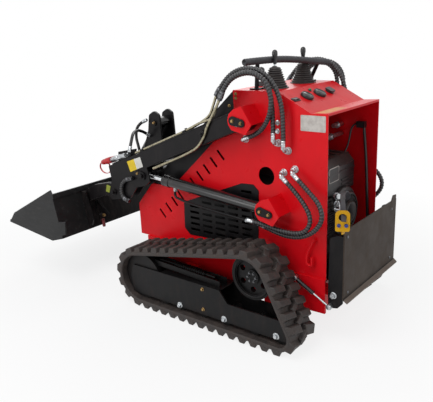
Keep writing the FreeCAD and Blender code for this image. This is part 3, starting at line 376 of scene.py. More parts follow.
def loop_table():
    """The wheels' common tangent loop as a table: straight runs touch two circles along the normal
    n = lean u + rise (u turned a right angle), lean = (r1 - r2) / length; arcs join them between
    the normals. Gives distance, place and outward normal of closely spaced stations."""
    following = np.roll(wheel_places, -1, axis=0)
    run = following[:, :2] - wheel_places[:, :2]
    length = np.linalg.norm(run, axis=1)
    u = run / length[:, None]
    lean = (wheel_places[:, 2] - following[:, 2]) / length
    rise = np.sqrt(1 - lean ** 2)
    n = lean[:, None] * u + rise[:, None] * np.stack([-u[:, 1], u[:, 0]], -1)
    places, normals = [], []
    for i, wheel in enumerate(wheel_places):
        share = np.linspace(0, 1, 120)[:, None]
        ends = wheel[:2] + wheel[2] * n[i], following[i, :2] + following[i, 2] * n[i]
        places.append(ends[0] + share * (ends[1] - ends[0]))
        normals.append(n[i] + 0 * share)
        a, b = np.arctan2(n[i, 1], n[i, 0]), np.arctan2(*n[(i + 1) % len(n)][::-1])
        turn = a - share[:, 0] * ((a - b) % (2 * np.pi))
        fan = np.stack([np.cos(turn), np.sin(turn)], -1)
        places.append(following[i, :2] + following[i, 2] * fan)
        normals.append(fan)
    places, normals = np.concatenate(places), np.concatenate(normals)
    step = np.linalg.norm(np.diff(places, axis=0), axis=1)
    keep = np.concatenate([[True], step > 1e-7])
    return np.concatenate([[0], np.cumsum(step)])[keep], places[keep], normals[keep]


gone, loop_places, loop_normals = loop_table()
loop_length = gone[-1]


def on_belt(distance, height, across):
    """Point at a distance round the loop and a place across the belt: the loop's own point there, plus
    height times its outward normal."""
    d = np.mod(distance, loop_length)
    x, z, nx, nz = (np.interp(d, gone, column) for column in (*loop_places.T, *loop_normals.T))
    stretch = np.hypot(nx, nz)
    return np.stack([rear_edge + x + height * nx / stretch, across + 0 * x, z + height * nz / stretch], -1)


def belt_sheet(side):
    """The belt: its rounded section of (height, place across) pairs, carried round the loop."""
    stations = np.arange(0, loop_length, 0.008)
    bead = 0.004
    low, high, inner, outer = bead, belt_thick - bead, belt_in + bead, belt_out - bead
    section = np.array([(0, inner), (0, outer), (low, belt_out), (high, belt_out), (belt_thick, outer),
                        (belt_thick, inner), (high, belt_in), (low, belt_in)])
    d, h = np.meshgrid(stations, section[:, 0], indexing="ij")
    y = np.broadcast_to(section[:, 1] * side, d.shape)
    rows = len(stations)
    faces = net(rows + 1, len(section)) % (rows * len(section))
    return on_belt(d, h, y).reshape(-1, 3), faces


def blocks(middles, low, high, size_low, size_high, foot, top, skew, side):
    """Moulded blocks at the given distances: eight corners each, wider at the foot than at the top,
    and slanted along the belt by skew from their one end to the other."""
    along = np.array([-1, 1, 1, -1]) / 2
    ends = np.array([0, 0, 1, 1])
    shapes = []
    for size, level, inset in ((size_low, foot, 0.0), (size_high, top, (size_low - size_high) / 4)):
        span = low + inset + (high - low - 2 * inset) * ends
        shapes.append(np.stack([along * size + skew * (ends - 0.5), 0 * along + level, span * side], -1))
    shape = np.concatenate(shapes)
    d = middles[:, None] + shape[None, :, 0]
    points = on_belt(d, shape[None, :, 1] + 0 * d, shape[None, :, 2] + 0 * d)
    quads = np.array([(0, 1, 2, 3), (4, 7, 6, 5), (0, 4, 5, 1), (1, 5, 6, 2), (2, 6, 7, 3), (3, 7, 4, 0)])
    return points.reshape(-1, 3), (quads[None] + 8 * np.arange(len(middles))[:, None, None]).reshape(-1, 4)


# Carbon-black rubber, moulded and used: matt dark grey, browned by dry soil that stays between lugs
track_rubber, tree, shader, coords = new_material("moulded track rubber with dry soil", IOR=1.5)
soil = blotches(tree, coords, 42, 0.40, 0.66, 0.10, 0.62, detail=6.0, rough=0.7)
grain = blotches(tree, coords, 3.0, 0.3, 0.7, detail=4.0)
pitted = lumpy(tree, coords, 3.0, 0.5, 1.2, detail=4.0)
plug(tree, shader, {"Base Color": layered(tree, "#1d1a1a", (grain, "#282322"), (soil, "#463a34")),
                    "Roughness": add_node(tree, "MapRange", {0: soil, 1: 0.2, 2: 0.9, 3: 0.58, 4: 0.9}),
                    "Normal": lumpy(tree, coords, 24, 0.6, 3.0, pitted)})

pitch = loop_length / lug_count
middles = pitch / 2 + pitch * np.arange(lug_count)
foot, top = belt_thick - 0.003, belt_thick + lug_tall
for side, hand in ((1, "left"), (-1, "right")):
    lugs = [blocks(middles, 0.388, belt_out, 0.044, 0.026, foot, top, 0.014, side),
            blocks(middles + pitch / 2, belt_in, 0.366, 0.044, 0.026, foot, top, 0.014, side),
            blocks(middles + 0.30 * pitch, 0.352, 0.404, 0.036, 0.022, foot, top - 0.002, -0.020, side)]
    teeth = blocks(middles, 0.363, 0.395, 0.034, 0.022, 0.002, -0.017, 0.0, side)
    tread = piece(f"track_tread_{hand}", [belt_sheet(side), *lugs, teeth], track_rubber, "body",
                  bevel=0.0035, crease=50)
    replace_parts(tread, f"track_{hand}")

# Track frames: welded box beams between the belt's runs, with the wheels' axles and the belt's
# tensioner, in the same black enamel, dulled by what the track throws up.
grimy_coat = coated("black enamel with track dirt", "#0f0f10", "#161516", "#3d322d", "#4d4845", gloss=0.38,
                    dust_top=0.38, dusty=0.4)
finish_nodes(grimy_coat, "track_frame_left", "track_frame_right", "track_wheels_left",
             "track_wheels_right", "drive_sprockets")
frame_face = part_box("track_frame_left")[1].y
heads = side_bolts([(0.680, 0.070), (0.410, 0.075), (0.130, 0.078)], frame_face, 0.017, 1.6)
gold = side_bolts([(0.532, 0.192), (0.533, 0.089)], frame_face, 0.011, 1.4)
piece("track_frame_bolts", heads, zinc, "body")
piece("track_frame_gold_bolts", gold, brass_plate, "body")


# Tensioner above each frame: two flat guides and a steel rod inside a coil spring, which push the front
# wheel forward; all of it is black enamelled and dirty.
def carried(section, line, reference):
    """Closed section carried along a line and shut at both ends: at each station the section's (p, q) is
    laid along two directions square to the line, the first of them as near to reference as can be."""
    line, reference, section = np.array(line, float), np.array(reference, float), np.array(section, float)
    t = np.gradient(line, axis=0)
    t /= np.linalg.norm(t, axis=1)[:, None]
    p = reference - (t @ reference)[:, None] * t
    p /= np.linalg.norm(p, axis=1)[:, None]
    q = np.cross(t, p)
    if section.ndim == 2:
        section = np.broadcast_to(section, (len(line), *section.shape))
    points = line[:, None] + section[..., :1] * p[:, None] + section[..., 1:] * q[:, None]
    rows, columns = points.shape[:2]
    faces = [tuple(f) for f in net(rows, columns)]
    faces += [tuple(range(columns))[::-1], tuple(range((rows - 1) * columns, rows * columns))]
    return points.reshape(-1, 3), faces


def round_section(radius, sides=16):
    """Circle as a section: (radius cos a, radius sin a)."""
    a = np.linspace(0, 2 * np.pi, sides, endpoint=False)
    return np.stack([radius * np.cos(a), radius * np.sin(a)], -1)


guides, springs = [], []
turns, wire, ring, rod_y = 14, 0.0032, 0.017, 0.379
for side in (1, -1):
    for y in (0.352, 0.406):
        bar = np.array([(0, 0), (0.006, 0), (0.006, 0.026), (0, 0.026)])
        line = at((0.452, y * side, 0.212), (0.860, y * side, 0.232))
        guides.append(carried(bar, line, (0, 1, 0)))
    line = at((0.500, rod_y * side, 0.236), (0.850, rod_y * side, 0.250))
    guides.append(carried(round_section(0.007), line, (0, 1, 0)))
    a = np.linspace(0, 2 * np.pi * turns, turns * 14)
    share = a / a[-1]
    coil = np.stack([share * 0.190, ring * np.cos(a), share * 0.0076 + ring * np.sin(a)], -1)
    springs.append(carried(round_section(wire, 6), at((0.560, rod_y * side, 0.2384)) + coil, (1, 0, 0)))
piece("track_tensioners", guides, grimy_coat, "body", bevel=0.0008)
piece("track_tensioner_springs", springs, grimy_coat, "body")

# Drive sprocket: a cast wheel bolted on the hydraulic motor's hub by six bolts, with a raised ring near
# its rim; it drives the belt by its guide teeth.
hub_x, hub_z, _ = wheel_places[2]
ring_line = [(0.086, 0.0), (0.086, 0.004), (0.0885, 0.006), (0.0945, 0.006), (0.097, 0.004), (0.097, 0.0),
             (0.086, 0.0)]
rings = [turned_part(ring_line, at((hub_x, side * 0.3995, hub_z)), (0, side, 0), 48) for side in (1, -1)]
turn = np.linspace(0, 2 * np.pi, 6, endpoint=False)
spots = np.stack([hub_x + 0.021 * np.cos(turn), hub_z + 0.021 * np.sin(turn)], -1)
piece("sprocket_rings", rings, grimy_coat, "body")
piece("sprocket_bolts", side_bolts(spots, 0.395, 0.010, 1.2), dull_zinc, "body")


# Pivot pins: zinc-plated steel, one for each arm and one for each lift cylinder's lower end. Each ends
# in an oval keeper plate held by two bolts on the bracket's face.
finish_nodes(zinc, "pivot_pins", "hose_bulkheads")
keeper_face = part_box("pin_keepers")[1].y - 0.007
arm_pin, low_pin = (0.380, 0.960), (0.250, 0.579)
spots = [(x + dx, z + dz) for x, z in (arm_pin, low_pin) for dx, dz in ((-0.027, 0.0), (0.017, 0.008))]
piece("keeper_bolts", side_bolts(spots, keeper_face, 0.0125, 1.15, tall=0.5), brass_plate, "body")

# Lift arms: box beams welded from black enamelled plate, on the pivot pins. The lift cylinder's rod pin,
# with its bolt and keeper, and the hitch's pin sit on the deep front plate.
arm_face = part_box("lift_arm_left")[1].y - 0.005
ovals, welds = [], []


def slab(outline, low, high, side):
    """Flat plate: an outline in X and Z, given from the rear edge, thick from low to high along Y."""
    flat = np.array(outline, float)
    count = len(flat)
    walls = [np.stack([rear_edge + flat[:, 0], np.full(count, side * y), flat[:, 1]], -1)
             for y in (low, high)]
    faces = [tuple(f) for f in net(2, count)]
    return np.concatenate(walls), faces + [tuple(range(count))[::-1], tuple(range(count, 2 * count))]


def rounded(outline, radius):
    """Outline with each corner p rounded: (1 - s)^2 a + 2 s (1 - s) p + s^2 b between its tangent points."""
    points = np.array(outline, float)
    before, after = np.roll(points, 1, axis=0), np.roll(points, -1, axis=0)
    a = (before - points) / np.linalg.norm(before - points, axis=1)[:, None]
    b = (after - points) / np.linalg.norm(after - points, axis=1)[:, None]
    half = 0.5 * np.arccos(np.clip((a * b).sum(1), -1, 1))
    reach = (radius / np.tan(half))[:, None]
    s = np.linspace(0, 1, 5)[None, :, None]
    start, end, mid = (points + a * reach)[:, None], (points + b * reach)[:, None], points[:, None]
    return ((1 - s) ** 2 * start + 2 * s * (1 - s) * mid + s ** 2 * end).reshape(-1, 2)


def bead(start, end, radius):
    """Fillet weld: a round bead between two points, rippled every 3 mm where the torch paused."""
    length = np.linalg.norm(end - start)
    s = np.linspace(0, 1, max(4, int(length / 0.0015)))
    line = start + s[:, None] * (end - start)
    size = radius * (1 + 0.13 * np.cos(2 * np.pi * s * length / 0.003))
    size[[0, -1]] *= 0.3
    return carried(size[:, None, None] * round_section(1.0, 8), line, (0.3, 0.9, 0.4))


def arm_top(x):
    """Height of the arm's top edge, x metres from the rear edge: a straight line that falls forward."""
    return 1.006 - 0.396 * (x - 0.400)


heads = side_bolts([(0.990, 0.652)], arm_face + 0.006, 0.022, 1.25)
heads += side_bolts([(1.215, 0.535)], arm_face + 0.008, 0.019, 1.2)
gold = side_bolts([(1.022, 0.660)], arm_face + 0.007, 0.009, 1.3)
oval = rounded([(0.973, 0.628), (1.040, 0.640), (1.036, 0.676), (0.971, 0.668)], 0.014)
for side in (1, -1):
    ovals.append(slab(oval, arm_face + 0.0005, arm_face + 0.0075, side))
    for level in (0.0, -0.084):
        ends = at(*((x, side * (arm_face - 0.001), arm_top(x) + level) for x in (0.430, 0.940)))
        welds.append(bead(*ends, radius=0.0028))
piece("arm_bolts", heads, black_coat, "arms")
piece("arm_gold_bolts", gold, brass_plate, "arms")
piece("arm_keepers", ovals, black_coat, "arms", bevel=0.0012)
piece("arm_welds", welds, black_coat, "arms")

# Tilt tower: two upright black plates welded on the arms' cross tube, with a pin across their tops that
# carries the tilt cylinder and is kept by a bolt on each plate.
piece("tower_bolts", side_bolts([(1.142, 0.869)], 0.064, 0.011, 1.25), brass_plate, "arms")

# Arm pipes: steel pipe bent cold and zinc plated, which takes oil along the arms, held by small black
# clamps bolted to the arm; those along the lift cylinders are enamelled with them.

# Yellow zinc over steel tube: pale straw metal with soft streaks along the pipe
pipe_zinc = metal("yellow zinc on steel pipe", "#aca58c", "#827b68", rough=0.3)
finish_nodes(pipe_zinc, "arm_pipes_left", "arm_pipes_right")
finish_nodes(black_coat, "cylinder_pipes_left", "cylinder_pipes_right")
straps, heads = [], []
for side in (1, -1):
    for x in (0.700, 0.990):
        top = arm_top(x)
        hoop = rounded([(x - 0.011, top - 0.001), (x - 0.011, top + 0.019), (x + 0.011, top + 0.010),
                        (x + 0.011, top - 0.009)], 0.003)
        straps.append(slab(hoop, 0.282, 0.318, side))
        heads += bolt(at((x, side * 0.300, top + 0.0145)), (0.37, 0, 0.93), 0.011)
    clamp = rounded([(0.560, 0.905), (0.576, 0.915), (0.598, 0.893), (0.583, 0.882)], 0.004)
    straps.append(slab(clamp, arm_face - 0.001, arm_face + 0.017, side))
    heads += bolt(at((0.579, side * (arm_face + 0.017), 0.899)), (0, side, 0), 0.010)
piece("pipe_clamps", straps, black_coat, "arms", bevel=0.0015)
piece("pipe_clamp_bolts", heads, black_coat, "arms")

# Lift and tilt cylinders: honed steel tubes with a turned gland nut at the rod's end and a welded base,
# in gloss black enamel, with hard-chromed rods. A port under the tube takes the oil pipe.

# Gloss enamel sprayed over a turned tube: near-black with sharp reflections
cylinder_enamel = coated("gloss black enamel on cylinders", "#0f0e10", "#161416", "#4e4743", "#6d6864",
                         gloss=0.14, wear=-0.04, dust_top=1.0, dusty=0.2, peel=0.4, shine=0.6)
finish_nodes(cylinder_enamel, "lift_barrel_left", "lift_barrel_right", "tilt_barrel")
# Hard chrome, ground: mirror-bright with faint lines round the rod
chrome = metal("hard chrome on ground rod", "#dfe2e5", "#cfd3d6", rough=0.09, depth=0.04)
finish_nodes(chrome, "lift_rod_left", "lift_rod_right", "tilt_rod", "strut_rod_left", "strut_rod_right")

rod_pin, cylinder_y = (1.003, 0.650), 0.292
run = np.array((rod_pin[0] - low_pin[0], 0.0, rod_pin[1] - low_pin[1]))
run /= np.linalg.norm(run)
for side, hand in ((1, "left"), (-1, "right")):
    collars = []
    axis = at((low_pin[0], side * cylinder_y, low_pin[1]))
    for near, far, radius in ((0.578, 0.622, 0.0295), (0.030, 0.046, 0.0285)):
        deep = far - near
        profile = [(0.020, 0), (radius - 0.002, 0), (radius, 0.002), (radius, deep * 0.62),
                   (radius - 0.0015, deep * 0.66), (radius - 0.0015, deep * 0.70), (radius, deep * 0.74),
                   (radius, deep - 0.002), (radius - 0.002, deep), (0.0125, deep)]
        collars.append(turned_part(profile, axis + near * run, run, 40))
    piece(f"cylinder_collars_{hand}", collars, cylinder_enamel, f"lift_barrel_{hand}")
    place = axis + 0.551 * run - (0, 0, 0.022)
    boss = turned_part([(0, -0.012), (0.011, -0.012), (0.011, 0.006), (0.0095, 0.008), (0, 0.008)], place,
                       (0, 0, -1), 20)
    nut = turned_part([(0, 0.006), (0.0105, 0.006), (0.0105, 0.017), (0.009, 0.019), (0, 0.019)], place,
                      (0, 0, -1), 6)
    piece(f"cylinder_port_{hand}", [boss, nut], zinc, f"lift_barrel_{hand}")


# Hydraulic hoses: wire-braided rubber in a spiral guard of hard plastic strip, crimped into steel
# ferrules. They loop from the elbow fittings on the side panels to the arm's and cylinder's pipes.
def smooth_line(route):
    """Points along the smooth spline of second degree that has the route as its control points."""
    curve = bpy.data.curves.new("route", "CURVE")
    curve.dimensions = "3D"
    spline = curve.splines.new("NURBS")
    spline.points.add(len(route) - 1)
    spline.points.foreach_set("co", np.column_stack([route, np.ones(len(route))]).ravel())
    spline.order_u = 3
    spline.use_endpoint_u = True
    spline.resolution_u = 24
    thing = bpy.data.objects.new("route", curve)
    mesh = bpy.data.meshes.new_from_object(thing)
    points = np.empty(3 * len(mesh.vertices))
    mesh.vertices.foreach_get("co", points)
    bpy.data.objects.remove(thing)
    bpy.data.curves.remove(curve)
    bpy.data.meshes.remove(mesh)
    return points.reshape(-1, 3)


def evenly(line, step):
    """The line again, with its points a step apart along it."""
    s = np.concatenate([[0], np.cumsum(np.linalg.norm(np.diff(line, axis=0), axis=1))])
    wanted = np.linspace(0, s[-1], int(s[-1] / step) + 1)
    return np.stack([np.interp(wanted, s, column) for column in line.T], -1), wanted


def hose(line, radius):
    """Hose in a spiral guard: the guard w = max(0, sin(2 pi s / wrap - a)) ** 0.4 at distance s and
    angle a winds round it and adds 2 mm w to the radius. Gives the tube and w."""
    wrap = 0.013
    line, s = evenly(line, wrap / 7)
    a = np.linspace(0, 2 * np.pi, 14, endpoint=False)
    guard = np.maximum(0, np.sin(2 * np.pi * s[:, None] / wrap - a)) ** 0.4
    size = radius - 0.0020 + 0.0020 * guard
    section = np.stack([size * np.cos(a), size * np.sin(a)], -1)
    return carried(section, line, (0, 1, 0)), guard


def ferrule(place, out, radius, length=0.030):
    """Crimped shell with three pressed rings, and the hexagon nut in front of it."""
    r, n = radius, length
    shell = [(0, 0), (r * 0.9, 0), (r, 0.001), (r, n * 0.2), (r * 0.93, n * 0.24), (r * 0.93, n * 0.32),
             (r, n * 0.36), (r, n * 0.5), (r * 0.93, n * 0.54), (r * 0.93, n * 0.62), (r, n * 0.66),
             (r, n * 0.9), (r * 0.8, n), (0, n)]
    nut = [(0, -0.011), (r * 0.86, -0.011), (r * 0.98, -0.009), (r * 0.98, -0.001), (0, -0.001)]
    return [turned_part(shell, place, out, 24), turned_part(nut, place, out, 6)]


# Rubber in a wound guard: painted sheen greys the strip, painted shade blackens the gaps; a little dust
hose_rubber, tree, shader, coords = new_material("black hose with spiral guard", IOR=1.5)
guard = add_node(tree, "Attribute", attribute_name="marks").outputs["Fac"]
# The strip's lighter grey is a painted sheen, and the near-black in the gaps between its turns is painted
# shade.
guard_sheen_mask = add_node(tree, "MapRange", {0: guard, 1: 0.3, 2: 0.8})
painted_sheen_tone = layered(tree, "#3b3a3d", (blotches(tree, coords, 14, 0.45, 0.75, detail=4.0), "#4a4644"))
plug(tree, shader, {"Base Color": layered(tree, "#0d0c0e", (guard_sheen_mask, painted_sheen_tone)),
                    "Roughness": blotches(tree, coords, 14, 0.3, 0.7, 0.34, 0.52, detail=4.0),
                    "Normal": lumpy(tree, coords, 1.6, 0.35, 0.4, detail=2.0)})

reach = 0.285
lift_routes = [
    [(0.232, reach, 0.910), (0.232, reach, 0.985), (0.233, 0.293, 1.062), (0.252, 0.301, 1.132),
     (0.314, 0.310, 1.170), (0.394, 0.313, 1.156), (0.448, 0.313, 1.118), (0.485, 0.313, 1.061)],
    [(0.183, reach, 0.881), (0.183, reach, 0.960), (0.188, 0.287, 1.040), (0.222, 0.288, 1.124),
     (0.292, 0.289, 1.180), (0.384, 0.290, 1.184), (0.464, 0.294, 1.142), (0.513, 0.295, 1.073)],
    [(0.3637, reach, 0.8884), (0.3116, reach, 0.9092), (0.262, 0.301, 0.950), (0.224, 0.314, 1.010),
     (0.214, 0.322, 1.086), (0.246, 0.327, 1.148), (0.318, 0.332, 1.177), (0.398, 0.333, 1.152),
     (0.446, 0.333, 1.104), (0.466, 0.331, 1.061)]]
cylinder_routes = [
    [(0.1207, reach, 0.7402), (0.070, reach, 0.6956), (0.006, 0.295, 0.646), (-0.012, 0.301, 0.584),
     (0.032, 0.301, 0.520), (0.110, 0.297, 0.482), (0.214, 0.290, 0.480), (0.304, reach, 0.506)],
    [(0.175, reach, 0.721), (0.118, reach, 0.6736), (0.049, 0.295, 0.597), (0.048, 0.303, 0.545),
     (0.085, 0.309, 0.508), (0.180, 0.311, 0.504), (0.270, 0.309, 0.518), (0.356, 0.308, 0.522)]]
hose_radius = 0.011
for side, hand in ((1, "left"), (-1, "right")):
    for group, routes, far_body in (("lift_hoses", lift_routes, "arms"),
                                    ("cylinder_hoses", cylinder_routes, f"lift_barrel_{hand}")):
        made, tips = [], []
        for i, route in enumerate(routes):
            points = at(*route) * (1, side, 1)
            line = smooth_line(points)
            wound, guard = hose(line, hose_radius)
            made.append(piece(f"{group}_{hand}_{i + 1}", [wound], hose_rubber, None, crease=60, marks=guard))
            tips += ferrule(line[-1], line[-4] - line[-1], hose_radius + 0.0010)
            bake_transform(made[-1])
        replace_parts(made[0], f"{group}_{hand}")
        piece(f"{group}_tips_{hand}", tips, dull_zinc if group == "lift_hoses" else zinc, far_body)

# Elbow fittings: zinc-plated steel bulkhead unions through the side panel, each a collar, a nut and a
# bent tube that ends in the ferrule crimped on the hose.
elbows = []
turned_lines = (([(0, 0), (0.0165, 0), (0.0165, 0.002), (0.0155, 0.003), (0, 0.003)], 28),
                ([(0, 0.003), (0.0150, 0.003), (0.0150, 0.011), (0.0130, 0.013), (0, 0.013)], 6),
                ([(0, 0.013), (0.0105, 0.013), (0.0105, 0.022), (0.0085, 0.024), (0, 0.024)], 24))
s = np.linspace(0, 1, 12)[:, None]
for side in (1, -1):
    for (x, z), (dx, dz) in (((0.232, 0.871), (0, 1)), ((0.183, 0.842), (0, 1)),
                             ((0.205, 0.746), (-0.77, -0.64)), ((0.150, 0.766), (-0.75, -0.66)),
                             ((0.400, 0.874), (-0.93, 0.37))):
        out, foot = (0, side, 0), at((x, side * panel_face, z))
        elbows += [turned_part(profile, foot, out, sides) for profile, sides in turned_lines]
        corner = at((x, side * reach, z))
        way = np.array((dx, 0, dz)) / np.hypot(dx, dz)
        a, b = foot + np.array(out) * 0.020, corner + way * 0.016
        bend = (1 - s) ** 2 * a + 2 * s * (1 - s) * corner + s ** 2 * b
        elbows.append(carried(round_section(0.0064), bend, np.cross(out, way)))
        elbows += ferrule(corner + way * 0.022, way, 0.0108, 0.028)
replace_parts(piece("hose_fittings", elbows, zinc, "body"), "hose_bulkheads")

# Tower hoses: two thinner bare rubber hoses crimped into zinc-plated ends, which feed the tilt cylinder
# from the tower's fittings, one down to the cross tube and one out to the arm's pipes.
tower_routes = [
    [(1.196, 0.072, 0.880), (1.254, 0.076, 0.858), (1.276, 0.080, 0.790), (1.250, 0.084, 0.720),
     (1.240, 0.084, 0.640), (1.240, 0.084, 0.600)],
    [(1.176, 0.072, 0.800), (1.190, 0.120, 0.838), (1.160, 0.200, 0.842), (1.114, 0.260, 0.822),
     (1.102, 0.293, 0.764)]]
lines = [smooth_line(at(*route)) for route in tower_routes]
runs = [carried(round_section(0.008), line, square) for line, square in zip(lines, ((0, 1, 0), (1, 0, 0.2)))]
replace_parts(piece("tilt_hose_runs", runs, hose_rubber, "arms"), "tilt_hoses")
tips = []
for line in lines:
    for here, there in ((line[0], line[5]), (line[-1], line[-6])):
        tips += ferrule(here, there - here, 0.0096, 0.022)
piece("tilt_hose_tips", tips, zinc, "arms")


# Labels and plates: vinyl film stuck flat on the visor, the arms and the hitch's ears, and an aluminium
# rating plate held by four rivets on each side panel; all are blank.
def tile(outline, place, across, up, thick):
    """Flat plate: an outline drawn along two directions from a place, thick along their normal."""
    across, up = np.array(across, float), np.array(up, float)
    flat = np.array(outline, float)
    base = np.array(place) + flat[:, :1] * across + flat[:, 1:] * up
    count = len(flat)
    faces = [tuple(f) for f in net(2, count)]
    return (np.concatenate([base, base + thick * np.cross(across, up)]),
            faces + [tuple(range(count))[::-1], tuple(range(count, 2 * count))])


def moulded(name, colour, darker, rough=0.42, grain=1.2, depth=0.3, dust="#6f655d", dusty=0.14):
    """Plastic, rubber or film: two close tones, dust on what faces up, and a moulded grain of the given
    millimetres, which is coarser than the real one so that it shows."""
    material, tree, shader, coords = new_material(name, IOR=1.5)
    up = add_node(tree, "SeparateXYZ", {0: add_node(tree, "NewGeometry").outputs["Normal"]}).outputs["Z"]
    upward = add_node(tree, "MapRange", {0: up, 1: 0.2, 2: 1.0, 3: 0.0, 4: dusty})
    settled = blotches(tree, coords, 18, 0.35, 0.65, 0.3, detail=5.0)
    laid = add_node(tree, "Math", {0: upward, 1: settled}, operation="MULTIPLY")
    soft = add_node(tree, "Bevel", {"Radius": 0.0006}, samples=4)
    plug(tree, shader, {
        "Base Color": layered(tree, colour, (blotches(tree, coords, 40, 0.35, 0.65), darker), (laid, dust)),
        "Roughness": blotches(tree, coords, 8, 0.3, 0.7, rough, rough + 0.14),
        "Normal": lumpy(tree, coords, grain, depth, 0.3, soft, detail=2.0)})
    return material


# Vinyl film: satin, faded a little unevenly, with the body's dust on it
yellow_film = moulded("orange-yellow vinyl film", "#e3932f", "#d8862c", rough=0.34, grain=3.0, depth=0.1)
bright_film = moulded("yellow vinyl film", "#e6c61c", "#d8b81a", rough=0.34, grain=3.0, depth=0.1)
pale_film = moulded("white vinyl film", "#d9d8d2", "#cbc9c2", rough=0.34, grain=3.0, depth=0.1)
green_film = moulded("yellow-green vinyl film", "#959d3a", "#858c35", rough=0.34, grain=3.0, depth=0.1)
# Anodised sheet aluminium, 0.8 mm, brushed and then dulled by handling
plate_metal = metal("anodised aluminium plate", "#b3aea9", "#a39d98", rough=0.38, spots=20, metallic=0.6)
flat = rounded([(0.014, 0.050), (0.070, 0.050), (0.070, 0.226), (0.014, 0.226)], 0.004)
label = tile(flat, at((0.0, 0.0, 1.0058)), (1, 0, -0.053), (0, 1, 0), 0.0010)
piece("visor_label", [label], yellow_film, "body")
plates, rivets, ears, arm_films, arm_halves = [], [], [], [], []
for side in (1, -1):
    plates.append(slab(rounded([(0.010, 0.931), (0.124, 0.931), (0.124, 0.996), (0.010, 0.996)], 0.004),
                       panel_face - 0.0002, panel_face + 0.0010, side))
    for x in (0.016, 0.118):
        for z in (0.937, 0.990):
            rivets.append(turned_part([(0.0022, 0), (0.0022, 0.0014), (0.0014, 0.0022), (0, 0.0024)],
                                      at((x, side * panel_face, z)), (0, side, 0), 12))
    ears.append(slab(rounded([(1.256, 0.517), (1.300, 0.522), (1.288, 0.562), (1.249, 0.556)], 0.004),
                     0.3088, 0.3096, side))
    arm_films.append(slab([(1.046, 0.7305), (0.999, 0.747), (0.983, 0.698), (1.028, 0.680)],
                          arm_face - 0.0002, arm_face + 0.0006, side))
    arm_halves.append(slab([(1.098, 0.712), (1.0468, 0.7302), (1.0288, 0.6797), (1.077, 0.660)],
                           arm_face - 0.0002, arm_face + 0.0006, side))
piece("rating_plates", plates + rivets, plate_metal, "body")
piece("hitch_ear_labels", ears, green_film, "bucket")
piece("arm_labels", arm_films, pale_film, "arms")
piece("arm_label_halves", arm_halves, bright_film, "arms")

# Instrument panel: the deck's sloping part, with two round gauges, a rocker switch, a lamp and a capped
# socket, all of black moulded plastic pushed in from above.
slope = np.radians(27.866)
tilt = np.array((-np.sin(slope), 0.0, np.cos(slope)))
slope_up = np.array((np.cos(slope), 0.0, np.sin(slope)))


def on_panel(x, y, lift=0.0):
    """Place on the sloping panel, x metres from the rear edge: the panel's height there, which rises by
    the slope's tangent, plus lift along its normal."""
    return at((x, y, 1.002 + np.tan(slope) * (x - 0.076))) + lift * tilt


# Black ABS with a fine grain; clear acrylic over the dials and the lamp
black_plastic = moulded("black moulded ABS", "#131214", "#1b1a1c", rough=0.34)
dial_glass = moulded("smoked gauge lens", "#0b0c0e", "#101114", rough=0.08, depth=0.0, dusty=0.1)
lamp_lens = moulded("green lamp lens", "#1f7d46", "#196b3b", rough=0.16, depth=0.05, dusty=0.05)
bezels, lenses = [], []
for y in (0.115, 0.005):
    ring = [(0, 0), (0.029, 0), (0.029, 0.008), (0.0262, 0.0125), (0.0236, 0.0125), (0.0228, 0.0105),
            (0, 0.0105)]
    bezels.append(turned_part(ring, on_panel(0.170, y), tilt, 40))
    lenses.append(turned_part([(0, 0.0104), (0.0226, 0.0104), (0.0190, 0.0122), (0, 0.0130)],
                              on_panel(0.170, y), tilt, 40))
frame_line = rounded([(-0.012, -0.024), (0.012, -0.024), (0.012, 0.024), (-0.012, 0.024)], 0.003)
bezels.append(tile(frame_line, on_panel(0.168, 0.210), slope_up, (0, 1, 0), 0.003))
paddle = np.array([(-0.006, 0.003), (-0.005, 0.008), (0.0, 0.005), (0.007, 0.004), (0.007, 0.003)])
walls = [on_panel(0.168, y) + paddle[:, :1] * slope_up + paddle[:, 1:] * tilt for y in (0.191, 0.229)]
bezels.append((np.concatenate(walls), [tuple(f) for f in net(2, 5)] + [(4, 3, 2, 1, 0), (5, 6, 7, 8, 9)]))
bezels.append(turned_part([(0, 0), (0.020, 0), (0.020, 0.005), (0.017, 0.007), (0, 0.007)],
                          on_panel(0.170, -0.088), tilt, 32))
bezels.append(tile(rounded([(-0.017, -0.021), (0.019, -0.021), (0.019, 0.021), (-0.017, 0.021)], 0.007),
                   on_panel(0.170, -0.088, 0.0068), slope_up, (0, 1, 0), 0.0065))
bezels.append(turned_part([(0, 0), (0.0085, 0), (0.0085, 0.003), (0.007, 0.004), (0, 0.004)],
                          on_panel(0.202, 0.036), tilt, 24))
piece("panel_instruments", bezels, black_plastic, "body", bevel=0.0008)
piece("gauge_lenses", lenses, dial_glass, "body")
lens = [(0, 0.003), (0.0062, 0.003), (0.0062, 0.006), (0.0048, 0.0088), (0.0025, 0.0100), (0, 0.0104)]
piece("panel_lamp", [turned_part(lens, on_panel(0.202, 0.036), tilt, 24)], lamp_lens, "body")

# Control sticks: zinc-plated steel levers in ribbed rubber boots, clamped under a flat ring on the deck,
# with pear-shaped knobs pressed on.

# Moulded nitrile rubber: matt black, paler where dust has settled between the ribs
boot_rubber = moulded("black rubber boot", "#151416", "#1e1c1d", rough=0.48, grain=2.0, depth=0.4, dusty=0.3)
# Phenolic resin, pressed and polished: near-black with a clean gloss
knob_plastic = moulded("black phenolic knob", "#101012", "#151517", rough=0.2, depth=0.1)
boots, knobs, stems = [], [], []
